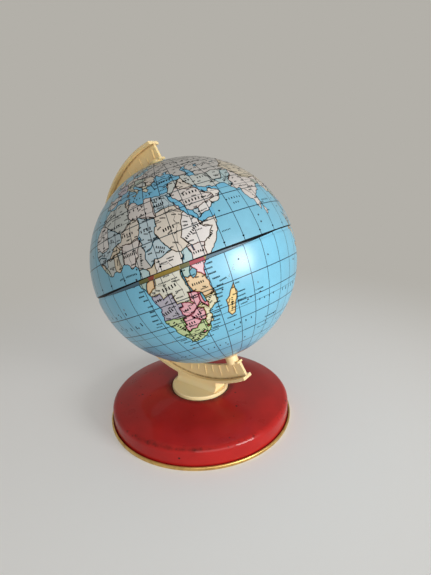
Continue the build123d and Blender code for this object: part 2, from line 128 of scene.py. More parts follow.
LANDS = {
    "africa":
        "-6 35.8, -3 35.2, -2 35.1, 0 35.8, 3 36.8, 7.5 37, 9.8 37.3, 11 37, 10.5 35.8, 11 35, "
        "10.1 34, 11.2 33.2, 15.2 32.3, 15.8 31.3, 18 30.5, 19.5 30.3, 20.1 31.2, 20 32.2, 21.6 32.9, "
        "23.2 32.3, 25 31.6, 29 30.9, 30.3 31.4, 31 31.6, 32.3 31.2, 32.6 29.9, 33.5 28, 35.5 24, "
        "35.6 22.9, 37.2 21, 37.3 19, 38.5 18, 39.5 15.5, 41 14.7, 43.3 12.4, 43.2 11.5, 44.5 10.4, "
        "46.5 10.7, 48.5 11.2, 51.2 11.9, 51 10.4, 49.9 8, 48 4.5, 45.5 2.1, 42.6 -0.2, 41 -1.9, "
        "39.2 -4.6, 38.8 -6, 39.5 -7, 39.4 -8.5, 40.4 -10.4, 40.8 -15, 39.8 -16.4, 37 -17.9, "
        "35 -19.8, 35.5 -22, 35.5 -24, 33 -25.3, 32.9 -27.5, 32 -28.9, 30.8 -30.3, 28.2 -32.8, "
        "25.7 -34, 22.2 -34.1, 20 -34.8, 18.4 -34.2, 18.2 -32.6, 17.2 -30, 15.2 -27, 14.4 -23, "
        "11.8 -18, 12 -16, 13.8 -11, 13 -9, 12.2 -6, 11 -4, 8.8 -0.7, 9.5 1, 9.7 3.5, 8.8 4.4, 6 4.3, "
        "5 5.8, 2.5 6.3, -2 4.8, -4.5 5.2, -7.6 4.4, -11.4 6.9, -13.2 8.7, -15 11, -16.8 13.5, "
        "-17.4 14.7, -16.4 16.5, -17 21, -14.8 25.5, -13 27.7, -10 29.5, -9.7 31.4, -8.5 33.3, "
        "-6.8 34.2",
    "eurasia":
        "-5.6 36, -8.9 37, -9.3 38.7, -8.8 41, -9.2 43.1, -1.4 43.5, -1.1 45.5, -4.7 48.3, -1.8 48.7, "
        "-1.5 49.7, 1.6 50.8, 4.8 53, 8.8 54, 8.2 57, 10.5 57.6, 10.8 54.3, 14.3 53.9, 18.5 54.7, "
        "21.1 55.7, 21.7 57.5, 24 57.1, 23.5 58.7, 29.5 59.9, 22 60.2, 21.4 62, 24.5 64.9, 24.2 65.8, "
        "21.5 64.5, 17.2 60.7, 18.5 59.8, 15.9 56.1, 12.8 55.5, 11.3 58.9, 8 58.1, 5.6 58.8, 5 61.5, "
        "10 64, 14.5 67.8, 19 69.8, 25.5 71, 30.5 70.3, 41 67.5, 40 66.2, 34.5 66.6, 35 64.3, "
        "40.3 65, 44 66.2, 43.8 68.3, 54 68.5, 60 69.7, 68 68.3, 67 71, 70 73.2, 72.8 71.5, 73.5 68, "
        "75 72, 80.5 73.5, 98 76.3, 104.3 77.7, 113 75.8, 113 73.7, 127 73.2, 130 71, 140 72.6, "
        "160 69.7, 170 70, 180 68.9, 190 66.1, 179 64.5, 177.5 62.5, 170.3 60, 163 58, 162.2 55, "
        "156.8 51, 155.6 56.5, 163.5 62, 156.5 61.5, 150 59.5, 142.5 59.2, 135.2 54.7, 141 52.5, "
        "140.3 48.5, 135.5 44, 130.5 42.5, 127.5 39.5, 129.4 37, 129 35.2, 126.4 34.4, 126.7 37.5, "
        "125 39.7, 121.5 38.9, 121.8 40.8, 118 39, 119 37.3, 122.5 37, 119.3 35, 121.8 31, 121.8 29, "
        "119.6 25.8, 116.8 23.3, 110.4 21.2, 108.3 21.6, 105.8 18.8, 109.3 13, 106.8 10.4, 104.8 8.6, "
        "105 10.3, 102 12.5, 100.9 13.4, 99.2 9.8, 100.4 7.3, 103.4 4, 104.2 1.4, 103.4 1.3, "
        "101.3 2.9, 100.3 5.5, 98.3 8.2, 98.6 12, 97.7 16.3, 94.3 16, 94.3 18.5, 91.8 22.5, "
        "88.5 21.7, 86.9 20.8, 82.3 16.6, 80.3 15.5, 79.8 10.3, 78.2 8.8, 77.5 8.1, 76.3 10, 73.5 16, "
        "72.7 21.3, 70.5 20.8, 69 22.3, 66.7 25, 57.5 25.7, 56.8 27.1, 54.5 26.6, 51.5 27.9, "
        "50.2 30.1, 48 30, 50.2 26.5, 50.8 24.8, 51.6 26, 51.6 24.3, 54 24.1, 56.2 26.3, 56.5 24.5, "
        "59.8 22.5, 57.7 19, 55.2 17.3, 49 14.2, 45 12.8, 43.5 12.7, 42.6 16.5, 39.1 21.3, 37.2 25, "
        "35.2 28, 34.9 29.5, 34.3 27.8, 32.6 29.9, 32.3 31.2, 34.2 31.3, 34.9 32.8, 36 36.8, "
        "32.5 36.1, 30.6 36.8, 27.4 37, 26.3 39.5, 26.3 40.4, 24 40.8, 22.7 39.5, 24 38, 23.1 36.5, "
        "21.5 37.2, 19.4 41.5, 16 43.5, 13.7 45.3, 12.4 45.2, 12.4 44, 14 42.5, 16.1 41.8, 18.4 40.2, "
        "17 40.4, 16.9 39, 15.8 38, 15.7 40, 12.5 41.4, 10.3 43, 8.8 44.4, 6.5 43.2, 3.2 43.2, "
        "3 41.8, -0.2 39.7, 0 38.7, -1.5 37.3, -4 36.7",
    "north_america":
        "-168 65.7, -162 66.5, -166.5 68.3, -156.5 71.3, -141 69.6, -128 70.5, -115 68, -102 67.8, "
        "-94 71.8, -90 69, -81.5 69.5, -82 66.5, -88 64, -94 61, -94.5 58.8, -88 56.5, -82.3 55.2, "
        "-82 53, -79.5 51.3, -79.5 54.7, -77 56.5, -77.5 62.5, -73.5 62.3, -69.5 59, -64.5 60.3, "
        "-61.5 57, -56 52, -60 50.2, -66.5 50.2, -70 47.5, -65 49.2, -64.5 46.5, -60 46.2, -66 43.5, "
        "-67 45, -70.2 43.5, -70 41.6, -74 40.5, -76 36.8, -75.5 35.2, -78 33.9, -81.2 31.5, "
        "-80.1 27, -80.5 25.2, -82.8 28, -84 30, -89 30.2, -94.7 29.3, -97.3 27.5, -97.8 22.5, "
        "-96 19, -94.3 18.2, -91.3 18.5, -90.4 21, -87 21.5, -88.8 15.9, -83.2 15, -83.7 11.5, "
        "-82.2 9.2, -79.7 9.5, -77.4 8.6, -78.2 7.5, -80.5 7.3, -82.8 8.1, -85.5 10, -87.6 13, "
        "-94.5 16.2, -99.5 16.7, -105.5 20.3, -105.5 22.5, -109.3 25.8, -112.5 29.5, -114.8 31.8, "
        "-111.5 27, -109.5 23.1, -115 28, -117.1 32.5, -120.6 34.5, -124.3 40.4, -124.7 48.4, "
        "-123 49, -130.5 54.5, -134 58, -139.5 59.7, -146 60.8, -151.5 59.2, -154 58, -164.8 54.7, "
        "-158.5 58.5, -162 59, -165.5 61.5, -161 64.5",
    "south_america":
        "-77.4 8.6, -75.5 10.6, -71.7 12.3, -68.2 10.7, -62 10.7, -57 5.9, -52 4.7, -50 1, -48 -1, "
        "-44.5 -2.6, -40 -2.9, -35.2 -5.8, -34.9 -8, -39 -13, -39 -17.7, -42 -22.9, -48.5 -26, "
        "-48.7 -28.5, -54.5 -34.8, -58 -34.3, -57.7 -38.1, -62.2 -39, -65 -41, -63.7 -42.6, "
        "-67.4 -46, -65.8 -47.8, -69 -51, -65.3 -54.8, -68 -55.7, -73.5 -52.5, -75.5 -48, -73.6 -39, "
        "-71.6 -33, -70.2 -19, -75.8 -14.7, -81.2 -5, -80 -3, -80.8 -1, -77.3 4, -77.8 7",
    "greenland":
        "-73 78.2, -60 82, -33 83.5, -20 81.5, -18.5 77, -22 72.5, -32 68, -39.5 65.5, -43 60, "
        "-48 61, -54 69, -60 75.8, -68.5 76",
    "baffin": "-64.8 62.5, -62 66.5, -68 70, -79 73.7, -89 73.2, -85 70, -73 67.5, -77 64.2",
    "ellesmere": "-62 82.5, -75 78.5, -80 76.3, -90 77, -88 80.5, -80 83",
    "victoria": "-105 69, -117 69.3, -118 71.5, -105 73, -101 70",
    "banks": "-124 71, -117 73, -123 74.5",
    "iceland": "-24 65.5, -16.2 66.4, -13.6 65, -18.7 63.4, -22.6 63.9",
    "britain":
        "-5.6 50.1, 1.4 51.2, 1.7 52.7, -0.2 54, -2 57.6, -5 58.6, -5.7 56.5, -3 54, -5.2 51.8, "
        "-3 51.3",
    "ireland": "-6.2 52.2, -6 54, -7 55.3, -9.8 54.2, -10.2 51.7",
    "novaya_zemlya": "52 71, 57 70.6, 56 73.5, 68 76.8, 60 76.2, 54 73.5",
    "svalbard": "11 79.5, 16.5 76.6, 22 78.5, 20 80.3",
    "honshu":
        "130 31.5, 131.9 33.5, 135.5 33.6, 140.8 35.8, 142 39.5, 141.4 41.4, 140 40.5, 136.8 37.3, "
        "135.5 35.6, 131 34.4, 129.8 33",
    "hokkaido": "140 42, 143.3 42, 145.5 43.3, 141.9 45.5, 140.4 43.3",
    "sakhalin": "142 46, 143.6 49.2, 143 53, 142.6 54.3, 142 50",
    "formosa": "120.2 23, 120.9 22, 122 25.1, 121 25",
    "hainan": "108.7 19.2, 110.5 18.6, 111 20",
    "luzon": "120.3 16, 120.7 18.5, 122.2 18.4, 121.5 15, 124 13, 121 13.7",
    "mindanao": "122 7, 125.5 9.8, 126.5 7.5, 125.5 5.7",
    "borneo": "109 1.5, 113.8 4.5, 116.8 7, 119 5.2, 118.8 1, 116.5 -1, 116 -4, 110 -2.9, 109 0",
    "sumatra": "95.3 5.6, 98 4.3, 103.5 -0.8, 106 -3, 105.8 -5.8, 100.4 -1, 98.5 1.7",
    "java": "105.2 -6.8, 106.5 -6, 110.8 -6.4, 114.5 -7.7, 114.4 -8.7, 108 -7.8",
    "celebes":
        "119.5 -5.4, 119 -3, 120 0.8, 124.8 1.5, 120.6 0.3, 123.3 -1, 121.6 -2, 122.5 -4.5, 120.9 -3, "
        "120.3 -5.5",
    "new_guinea":
        "131 -0.8, 134 -0.9, 135 -3.2, 138 -1.7, 144 -3.9, 147.8 -6, 150.7 -10.4, 144.5 -7.7, "
        "143 -9.2, 139 -8.1, 137.8 -5.3, 133 -4",
    "australia":
        "114.2 -22, 121 -19.5, 122.3 -18, 126.8 -14, 129.5 -15, 130.8 -12.4, 132.6 -11.5, "
        "136.8 -12.2, 135.5 -14.8, 139 -17.4, 140.9 -17.4, 142.5 -10.8, 143.6 -14, 145.4 -15, "
        "146.2 -18.8, 150.8 -23.3, 153.5 -28.5, 150 -37.3, 146.4 -39, 140.5 -38, 138.2 -35.6, "
        "137.8 -33, 135.8 -34.8, 131 -31.5, 126 -32.3, 123.5 -34, 118 -35, 115.1 -34.2, 115.7 -31.7, "
        "113.5 -26",
    "tasmania": "144.7 -40.8, 148.3 -40.9, 147.9 -43.2, 146 -43.5",
    "north_island":
        "173 -34.5, 175.5 -36.8, 178.4 -37.8, 177 -39.5, 175.2 -41.5, 173.8 -39.3, 174.6 -37.5",
    "south_island": "172.7 -40.6, 174.3 -41.8, 172.8 -43.8, 168.4 -46.6, 166.6 -45.8, 170 -43",
    "ceylon": "79.8 8, 80.2 9.7, 81.8 7.5, 81 6.1, 80 6.2",
    "madagascar":
        "49.7 -10.9, 50.8 -15.4, 49.7 -18, 47.4 -25.1, 45.2 -26, 43.6 -23.5, 44.4 -20, 44.2 -17, "
        "46.3 -15.8",
    "cuba": "-84.8 21.9, -82 23.1, -74.2 20.2, -77.5 19.9, -82.5 22.4",
    "hispaniola": "-74.4 18.4, -72.8 19.9, -68.4 18.5, -71.5 17.8",
    "newfoundland": "-59.2 47.8, -55.8 51.5, -53 48, -53.2 46.7",
    "sicily": "12.5 38, 15.5 38.2, 15.1 36.8",
    "sardinia": "8.3 40.8, 9.6 41, 9.6 39.2, 8.5 39",
    "corsica": "8.7 42.5, 9.4 43, 9.4 41.5",
    "crete": "23.6 35.5, 26.2 35.2, 24 34.9",
    "cyprus": "32.4 35, 34.4 35.6, 33.8 34.9",
    "antarctica":
        "-180 -78, -165 -78.3, -150 -77, -120 -74, -95 -73, -80 -73.5, -67 -66.5, -57.5 -63.3, "
        "-62 -74, -50 -78, -35 -78, -20 -73, -8 -71, 15 -69.5, 45 -67.5, 55 -66, 75 -69.8, 82 -66.5, "
        "115 -66.5, 142 -67, 170 -71.5, 165 -77.5, 180 -78",
}

# Ink of each land where no country is drawn on it
LAND_INKS = {
    "africa": "pearl", "eurasia": "sand", "north_america": "rose", "south_america": "straw",
    "greenland": "pearl", "madagascar": "buff", "australia": "rose", "antarctica": "pearl",
    "borneo": "orange", "sumatra": "orange", "java": "orange", "celebes": "orange",
    "new_guinea": "sage", "honshu": "sage", "hokkaido": "sage", "iceland": "slate",
    "ceylon": "rose", "cuba": "orange", "luzon": "buff", "mindanao": "buff", "hispaniola": "sage",
}

# Countries, each laid over the one before it and cut off at the coast
COUNTRIES = (
    ("grey", "-15 27.7, -14 38, -2 38, -1.8 35, -1.2 32.3, -3.8 30.8, -8.7 28.7, -8.7 27.7"),
    ("pearl", "-18 21.3, -15 27.7, -8.7 27.7, -8.7 26, -12 26, -12 23.4, -13 21.3"),
    ("grey", "-2 38, 8.6 38, 8.4 36.5, 7.6 33.2, 9.1 32.1, 9.9 28, 9.5 26.5, 12 23.5, 4.2 19.2, "
     "1.2 21.1, -4.8 25, -8.7 27.3, -8.7 28.7, -3.8 30.8, -1.2 32.3, -1.8 35"),
    ("buff", "8.6 38, 12 38, 12 33.5, 9.5 30.3, 9.1 32.1, 7.6 33.2, 8.4 36.5"),
    ("rose", "12 34, 10.3 31.8, 9.5 30.3, 9.9 28, 9.5 26.5, 12 23.5, 14.2 22.6, 16 23.4, 24 19.5, "
     "24 20, 25 20, 25 34"),
    ("slate", "25 33, 25 22, 36.9 22, 34.9 29.5, 34.3 31.4, 34 33"),
    ("buff", "25 22, 36.9 22, 38.6 18, 37 17.2, 36.2 12.7, 34.1 8.6, 33 7.8, 35.3 5, 30.8 3.5, "
     "28 4.3, 24.2 8.7, 22.2 12.7, 23 15.7, 24 15.7, 24 20, 25 20"),
    ("slate", "15 23, 16 23.4, 24 19.5, 24 15.7, 23 15.7, 22.2 13.5, 22.8 11, 18.6 8, 15.5 7.5, "
     "14.2 10, 15 10, 14.2 12.7, 13.5 14, 15.9 20"),
    ("buff", "4.2 19.2, 12 23.5, 14.2 22.6, 15 23, 15.9 20, 13.5 14, 9 12.8, 4 13.6, 3.6 11.7, "
     "2.4 12.2, 0.2 14.9, 3.5 15.4, 4.2 16.8"),
    ("slate", "-4.8 25, 1.2 21.1, 4.2 19.2, 4.2 16.8, 3.5 15.4, 0.2 14.9, -2 14.2, -5.5 10.4, "
     "-8 10.2, -11.4 12.3, -12 14.8, -5.5 15.5, -6.6 25"),
    ("pearl", "-8.7 27.3, -4.8 25, -6.6 25, -5.5 15.5, -12 14.8, -14 16.5, -18 16.2, -18 21.3, "
     "-13 21.3, -12 23.4, -12 26, -8.7 26"),
    ("slate", "-19 16.2, -14 16.5, -12 14.8, -11.4 12.3, -19 12.3"),
    ("slate", "-13.7 12.6, -8.6 11.4, -8.2 8, -9.4 7.5, -12.5 9.8, -15.5 8.9, -16 12"),
    ("orange", "-15 8.9, -12.5 9.8, -10.5 8, -11.5 6, -15 7"),
    ("sage", "-12 6.5, -10.5 8, -9.4 7.5, -7.5 5, -7.5 3, -11 4"),
    ("grey", "-8.2 8, -8 10.2, -2.8 9.7, -3 4, -7.5 3, -7.5 5, -9.4 7.5"),
    ("orange", "-5.5 10.4, -2 14.2, 0.2 14.9, 2.4 12.2, 0.9 11, -2.8 11, -2.8 9.7"),
    ("orange", "-2.8 11, 0 11, 1.2 6, 1.2 4, -3 4, -2.8 9.7"),
    ("grey", "0 11, 0.9 11, 2.4 12.2, 3.6 11.7, 2.7 5, 1.2 5"),
    ("rose", "3.6 11.7, 4 13.6, 9 12.8, 13.6 13.7, 14.2 12.5, 11.5 7, 9.8 6.9, 8.6 3.5, 2.7 5"),
    ("sand", "8.6 4.8, 11.5 7, 14.2 12.5, 15 10, 14.2 10, 15.5 7.5, 14.5 5.5, 16.1 2.2, 9 2.3, 7.5 3.5"),
    ("slate", "15.5 7.5, 18.6 8, 22.8 11, 24.2 8.7, 27.4 5.1, 22.5 4.2, 18.6 4.4, 16.1 2.2, 14.5 5.5"),
    ("mist", "8 2.3, 13.3 2.2, 14.3 1.3, 14 -1.5, 12.5 -2, 11.1 -5, 7 -2"),
    ("orange", "11.1 -5, 12.5 -2, 14 -1.5, 14.3 1.3, 13.3 2.2, 16.1 2.2, 18.6 3.5, 17.8 0.5, 15.5 -4, "
     "13.5 -4.8"),
    ("cream", "11 -6.3, 12.5 -4.8, 15.5 -4, 17.8 0.5, 18.6 4.4, 22.5 4.2, 27.4 5.1, 30.8 3.5, 31 2.2, "
     "29.8 0, 29 -2.8, 30.6 -8.2, 28.8 -8.5, 28.4 -11.8, 29.7 -13.3, 27.2 -11.7, 22 -11.2, 21.8 -7.3, "
     "17 -8, 16.5 -5.9"),
    ("lilac", "10 -6, 16.5 -5.9, 17 -8, 21.8 -7.3, 22 -11.2, 24 -11, 24 -13, 22 -13, 22 -16.2, "
     "23.4 -17.6, 10 -17.3"),
    ("sage", "10 -17.3, 23.4 -17.6, 21 -18.3, 21 -22, 20 -22, 20 -28.4, 12 -29"),
    ("sage", "12 -29, 20 -28.4, 20 -24.8, 20.8 -26.8, 22.7 -25.5, 25.5 -25.7, 29.4 -22.1, 31.3 -22.4, "
     "31.9 -26.8, 35 -27, 28 -37, 16 -37"),
    ("rose", "20 -24.8, 20 -22, 21 -22, 21 -18.3, 25.2 -17.8, 27.7 -20.5, 29.4 -22.1, 25.5 -25.7, "
     "22.7 -25.5, 20.8 -26.8"),
    ("rose", "27 -29.6, 28.6 -28.6, 29.4 -29.6, 28 -30.6"),
    ("rose", "30.8 -26.6, 32 -25.8, 32.2 -27.2, 31 -27.3"),
    ("rose", "22 -16.2, 22 -13, 24 -13, 24 -11, 27.2 -11.7, 29.7 -13.3, 28.4 -11.8, 28.8 -8.5, "
     "33 -9.4, 33.2 -12.5, 30.2 -15, 28.9 -16, 27 -17.9, 23.4 -17.6"),
    ("rose", "25.2 -17.8, 28.9 -16, 30.4 -15.6, 33 -16.5, 32.5 -21.3, 31.3 -22.4, 29.4 -22.1, "
     "27.7 -20.5"),
    ("rose", "33 -9.4, 34 -9.5, 34.9 -13.5, 35.8 -14.8, 35.3 -17, 32.8 -13.7"),
    ("straw", "44 -10.5, 42 -18, 36 -27, 31.9 -26.8, 31.3 -22.4, 32.5 -21.3, 33 -16.5, 30.2 -15, "
     "32.8 -14, 35.3 -17, 35.8 -14.8, 34.6 -11.6, 37.5 -11.7"),
    ("orange", "29.5 -3.7, 33 -2.5, 36 -3, 43 -5, 43 -10.4, 37.5 -11.7, 34.6 -11.6, 34 -9.5, "
     "30.6 -8.2, 29.3 -4.5"),
    ("mist", "29 -2.8, 29.5 -1.5, 30.4 -1.1, 30.5 -2.4, 29.3 -4.5"),
    ("blush", "34.1 -1.5, 34.3 -0.4, 35 2, 34 4.2, 36 4.4, 41.9 3.9, 41 2.5, 41 -0.8, 44 -3, 41 -5.4, "
     "38.4 -5.2, 36 -3.8"),
    ("mist", "29.8 0, 31 2.2, 30.8 3.5, 34 4.2, 35 2, 34.3 -0.4, 34.1 -1.5, 33.1 -2.8, 32.9 -4, "
     "31.4 -4.4, 29.5 -3.7"),
    ("pearl", "38.6 18, 43 12.5, 42.8 10.9, 44 8.9, 47.9 8, 45 5, 41.9 3.9, 36 4.4, 33 7.8, 34.8 11, "
     "37 17.2"),
    ("cream", "43.2 11.5, 42.8 10.9, 44 8.9, 47.9 8, 45 5, 41.9 3.9, 41 2.5, 41 -0.8, 44 -3, 54 9, "
     "54 13, 45 12"),
    ("rose", "-11 36.5, -11 44, -1.8 43.4, 3.3 42.4, 4 40, 0 36.5, -6 35.8"),
    ("grey", "-11 42, -6.5 41.8, -7 37, -11 36.8"),
    ("lilac", "-6 48, -1.8 43.4, 3.3 42.4, 7.5 43.3, 7.6 47.6, 6 49.6, 2.5 51.3, -3 50.5"),
    ("buff", "2.5 51, 6 49.6, 7.6 47.6, 13 47.6, 12.2 50.3, 15 51, 14.3 55, 8 58, 6 54"),
    ("straw", "7 46, 13.7 46.5, 13.6 45, 19.5 40.5, 16 36, 7 38, 7.3 43.6"),
    ("sage", "7 46, 7.6 47.6, 13 47.6, 12.2 50.3, 15 51, 22.5 48.3, 20.5 46.2, 13.7 46.5"),
    ("rose", "14.3 55, 15 51, 22.7 49.2, 23.8 52, 19.5 55"),
    ("buff", "20.5 46.2, 22.5 48.3, 26.6 48.2, 29.8 45.2, 28 41.9, 22.5 41.3, 22.4 44.2"),
    ("grey", "13.7 46.5, 20.5 46.2, 22.4 44.2, 22.5 41.3, 20 41.8, 13.6 45"),
    ("straw", "19.3 42.3, 22.5 41.3, 26.5 41.5, 27 34, 20 36, 19 40"),
    ("rose", "3 57, 11.5 59, 12.3 62, 14 65, 20.5 69, 31 70, 26 72, 14 69, 3 62"),
    ("sage", "11.3 58.9, 12.3 62, 14 65, 20.5 69, 24 66, 17 61, 20 58, 14 55"),
    ("slate", "20.5 69, 29 69.5, 30 65, 31.5 62.8, 28 60.5, 20 59.5, 21 63, 24.2 65.8"),
    ("lake", "26 40.5, 28 41.9, 35 42.2, 41.5 41.5, 44.7 39.7, 44.5 37.5, 38 36.8, 36 35.5, 27 35.5"),
    ("grey", "34 31, 36 36.8, 42.3 37.2, 39 32.2, 36 29.3, 35 29.5"),
    ("buff", "42.3 37.2, 44.5 37.5, 46 33, 48.5 30, 46.5 29.2, 44.7 29.2, 39 32.2, 41 34.5"),
    ("rose", "34.5 28, 36 29.3, 39 32.2, 44.7 29.2, 48.5 28.6, 51.3 24.3, 55 22.5, 55.3 20, 52 19, "
     "46 17, 43.3 17.2, 42 16, 36 20"),
    ("slate", "41 16.4, 43.3 17.2, 45.3 17, 45.5 14, 43.5 12, 41 14"),
    ("pearl", "43.5 12, 45.5 14, 45.3 17, 52 19, 54 16, 50 13"),
    ("cream", "54 16, 52 19, 55.3 20, 55 22.5, 51.3 24.3, 57 27, 62 23"),
    ("grey", "44.5 37.5, 44.7 39.7, 48 39.3, 53.8 37.2, 61 36.5, 60.8 31, 63.2 27, 61.6 24, 58 24.5, "
     "52 26.5, 48.5 29.8, 46 33"),
    ("grey", "61 36.5, 68 37, 74.8 37.2, 71.2 36, 69 31.8, 66.3 29.5, 61.8 29.5, 60.8 31"),
    ("mist", "61.6 24, 63.2 27, 61.8 29.5, 66.3 29.5, 71.2 36, 77 35.5, 74.5 31, 70 27.8, 71 24.5, "
     "68 23.3"),
    ("rose", "68 23.3, 71 24.5, 70 27.8, 74.5 31, 77 35.5, 81 30.2, 80 28.8, 88 26.4, 92 27.6, "
     "97 28.2, 93 22, 90 5, 76 5, 68 19"),
    ("sage", "88.5 21, 88.2 26, 92.3 25, 92.5 21"),
    ("straw", "80 28.8, 81 30.2, 88.1 27.9, 88 26.4"),
    ("orange", "77 35.5, 73.8 39.5, 80 42, 82.5 45.2, 87.8 49, 91 45, 96 42.7, 105 41.6, 116 46.5, "
     "119.7 46.8, 120 53, 126 52.8, 131 47.7, 134.7 48.3, 130.5 42.4, 124.3 40, 124 30, 118 20, "
     "108 21.4, 102 22.5, 97 28.2, 88.1 27.9, 81 30.2"),
    ("rose", "87.8 49, 98 52, 107 50, 116.5 49.8, 119.7 46.8, 116 46.5, 105 41.6, 96 42.7, 91 45"),
    ("buff", "92.3 20, 94 24, 97 28.2, 101 21.5, 97.8 18, 99 10, 94 14"),
    ("sage", "97.8 18, 100.5 20.3, 104.5 17, 102.5 12.3, 99.5 10, 102 6, 97 7.5, 98.8 15"),
    ("lilac", "101 21.5, 102 22.5, 108 21.4, 111 14, 106 8, 103 10.5, 104.5 17, 100.5 20.3"),
    ("rose", "99 6.5, 102.5 6.2, 105 1, 100 3"),
    ("straw", "124.3 40, 130.5 42.4, 131 36, 127 33.5, 124 37.5"),
    ("buff", "-141 60.3, -141 71, -171 72, -171 52, -136 57, -130 55"),
    ("straw", "-127 48.5, -123 49, -95 49, -84.5 46.5, -83 42, -76.5 44, -71 45.2, -69 47.3, -67 45, "
     "-64 43, -74 34, -78 24, -84 24, -97 25.9, -103 29, -106.5 31.8, -114.8 32.6, -119 32.5, -127 40"),
    ("sage", "-119 32.5, -114.8 32.6, -106.5 31.8, -103 29, -97 25.9, -86 23, -88 18, -91 17.3, "
     "-92 13, -108 15, -120 27"),
    ("orange", "-92 13, -91 17.3, -88 18, -81 16, -77 8.6, -79 6, -86 8"),
    ("orange", "-69.9 -4.2, -73.5 -7, -70.5 -11, -65.3 -10, -60 -13.7, -58 -20, -54.5 -25.6, "
     "-53.7 -27, -57.6 -30.2, -53.5 -33.7, -50 -36, -32 -8, -45 1, -51 5, -56 2, -60 5, -67 1.2, "
     "-69.8 1"),
    ("slate", "-68.5 -25, -66.3 -22, -62.8 -22.2, -57.8 -25.5, -54.5 -25.6, -57.6 -30.2, -58.3 -34, "
     "-54 -38, -62 -58, -68.5 -55, -72.3 -50, -71.5 -42, -70 -33"),
    ("buff", "-76 -17.5, -69.5 -18, -67.5 -23, -70 -33, -71.5 -42, -72.3 -50, -68.5 -52, -68.5 -57, "
     "-79 -52, -76 -40"),
    ("rose", "-83 -3.4, -78.5 -4.5, -75.2 -0.3, -70 -4.2, -73.5 -7, -69 -15.5, -70 -18.3, -79 -16, "
     "-84 -6"),
    ("sage", "-69 -12, -65.3 -10, -60 -13.7, -58 -20, -62.8 -22.2, -67.5 -23, -69.5 -18"),
    ("lilac", "-62.2 -20.5, -58 -20, -54.5 -25.6, -58.3 -27.2, -62.8 -22.2"),
    ("sage", "-57.6 -30.2, -53.5 -33.7, -53 -37, -59 -35"),
    ("pearl", "-77.4 8.6, -71.5 14, -72.5 9, -67.5 6.2, -67 1.2, -70 -4.2, -75.2 -0.3, -80 1.5, -79 7"),
    ("sage", "-71.5 14, -72.5 9, -67.5 6.2, -67 1.2, -60.7 5, -59 8.5, -62 12"),
    ("slate", "-80 1.5, -75.2 -0.3, -78.5 -4.5, -83 -3.4, -83 0"),
    ("lilac", "-59 8.5, -60.7 5, -56 2, -51 5"),
    ("pearl", "129 -10, 138 -10, 138 -26, 129 -26"),
    ("straw", "129 -26, 141 -26, 141 -40, 129 -40"),
    ("sage", "141 -34, 150 -37.5, 155 -29, 141 -29"),
    ("slate", "141 -34, 150 -37.5, 147 -40, 141 -40"),
)

# Enclosed seas, printed darker than the open ocean
GULFS = (
    "-6 35.9, -2 38, 1 44.5, 14 46.5, 24 41, 30 40.5, 37 37.5, 35 30.5, 10 29.5, 3 36",
    "31.5 31, 35.5 30, 44 13.5, 52 15.4, 51.6 11.2, 44 9.5, 36 20",
    "47 31, 51 24, 56 22.5, 59.6 22.6, 61.5 24, 67 23.6, 67.5 26, 55 29",
)

LAKES = (
    "29 41.2, 31.3 41.3, 35 42, 38 41, 41.5 41.5, 41.3 42.8, 37.5 45, 39 47.2, 35 46.3, 36.5 45.3, "
    "33.5 44.5, 30.8 46.5, 28.7 44",
    "50 37, 53.8 37, 53 41.5, 51 44.5, 53 46.8, 49.5 46.5, 47.5 44.5, 49.8 40.4, 49 38.5",
    "58.5 44, 61 44.5, 61 46.5, 59 46",
    "104 51.6, 107 52.3, 109.7 55.6, 108 54",
    "74 45.5, 78.5 46.2, 78.5 46.8, 74.5 46.4",
    "33.1 -2.8, 34.6 -2.2, 36.1 -3.2, 35.3 -4.4, 33.5 -5, 32.9 -4",
    "29.2 -3.4, 29.7 -3.4, 31.2 -8.5, 30.6 -8.6, 29.4 -6",
    "34 -9.6, 34.5 -9.8, 35.2 -14.2, 34.6 -14.3",
    "13.3 12.9, 14.5 14, 14.9 12.8",
    "35.9 4.5, 36.4 4.4, 36.7 2.5, 36.2 2.6",
    "30.4 1.2, 30.9 1, 31.5 2.3, 31.1 2.3",
    "-92 46.7, -88.5 48.8, -84.8 46.8, -87.5 46.5",
    "-87.8 41.8, -86.5 41.8, -85.3 45.6, -87.4 45.5",
    "-84.3 46, -82.4 43, -81.5 43.4, -80.2 44.6, -81.5 46",
    "-83.2 41.6, -79 42.7, -79.2 43, -82.8 42.2",
    "-79.6 43.2, -76.3 43.6, -76.5 44.2, -79 43.9",
    "-98.5 50.8, -96.8 50.6, -98 53.8, -99 53.5",
    "-117 61, -110 61.5, -109 62.6, -115 62",
    "-124.5 65.4, -118 65.3, -119 67, -124 66.6",
    "12.3 58.5, 14 58.7, 14 59.3",
    "30 61, 32.5 60, 32.5 61.6",
)

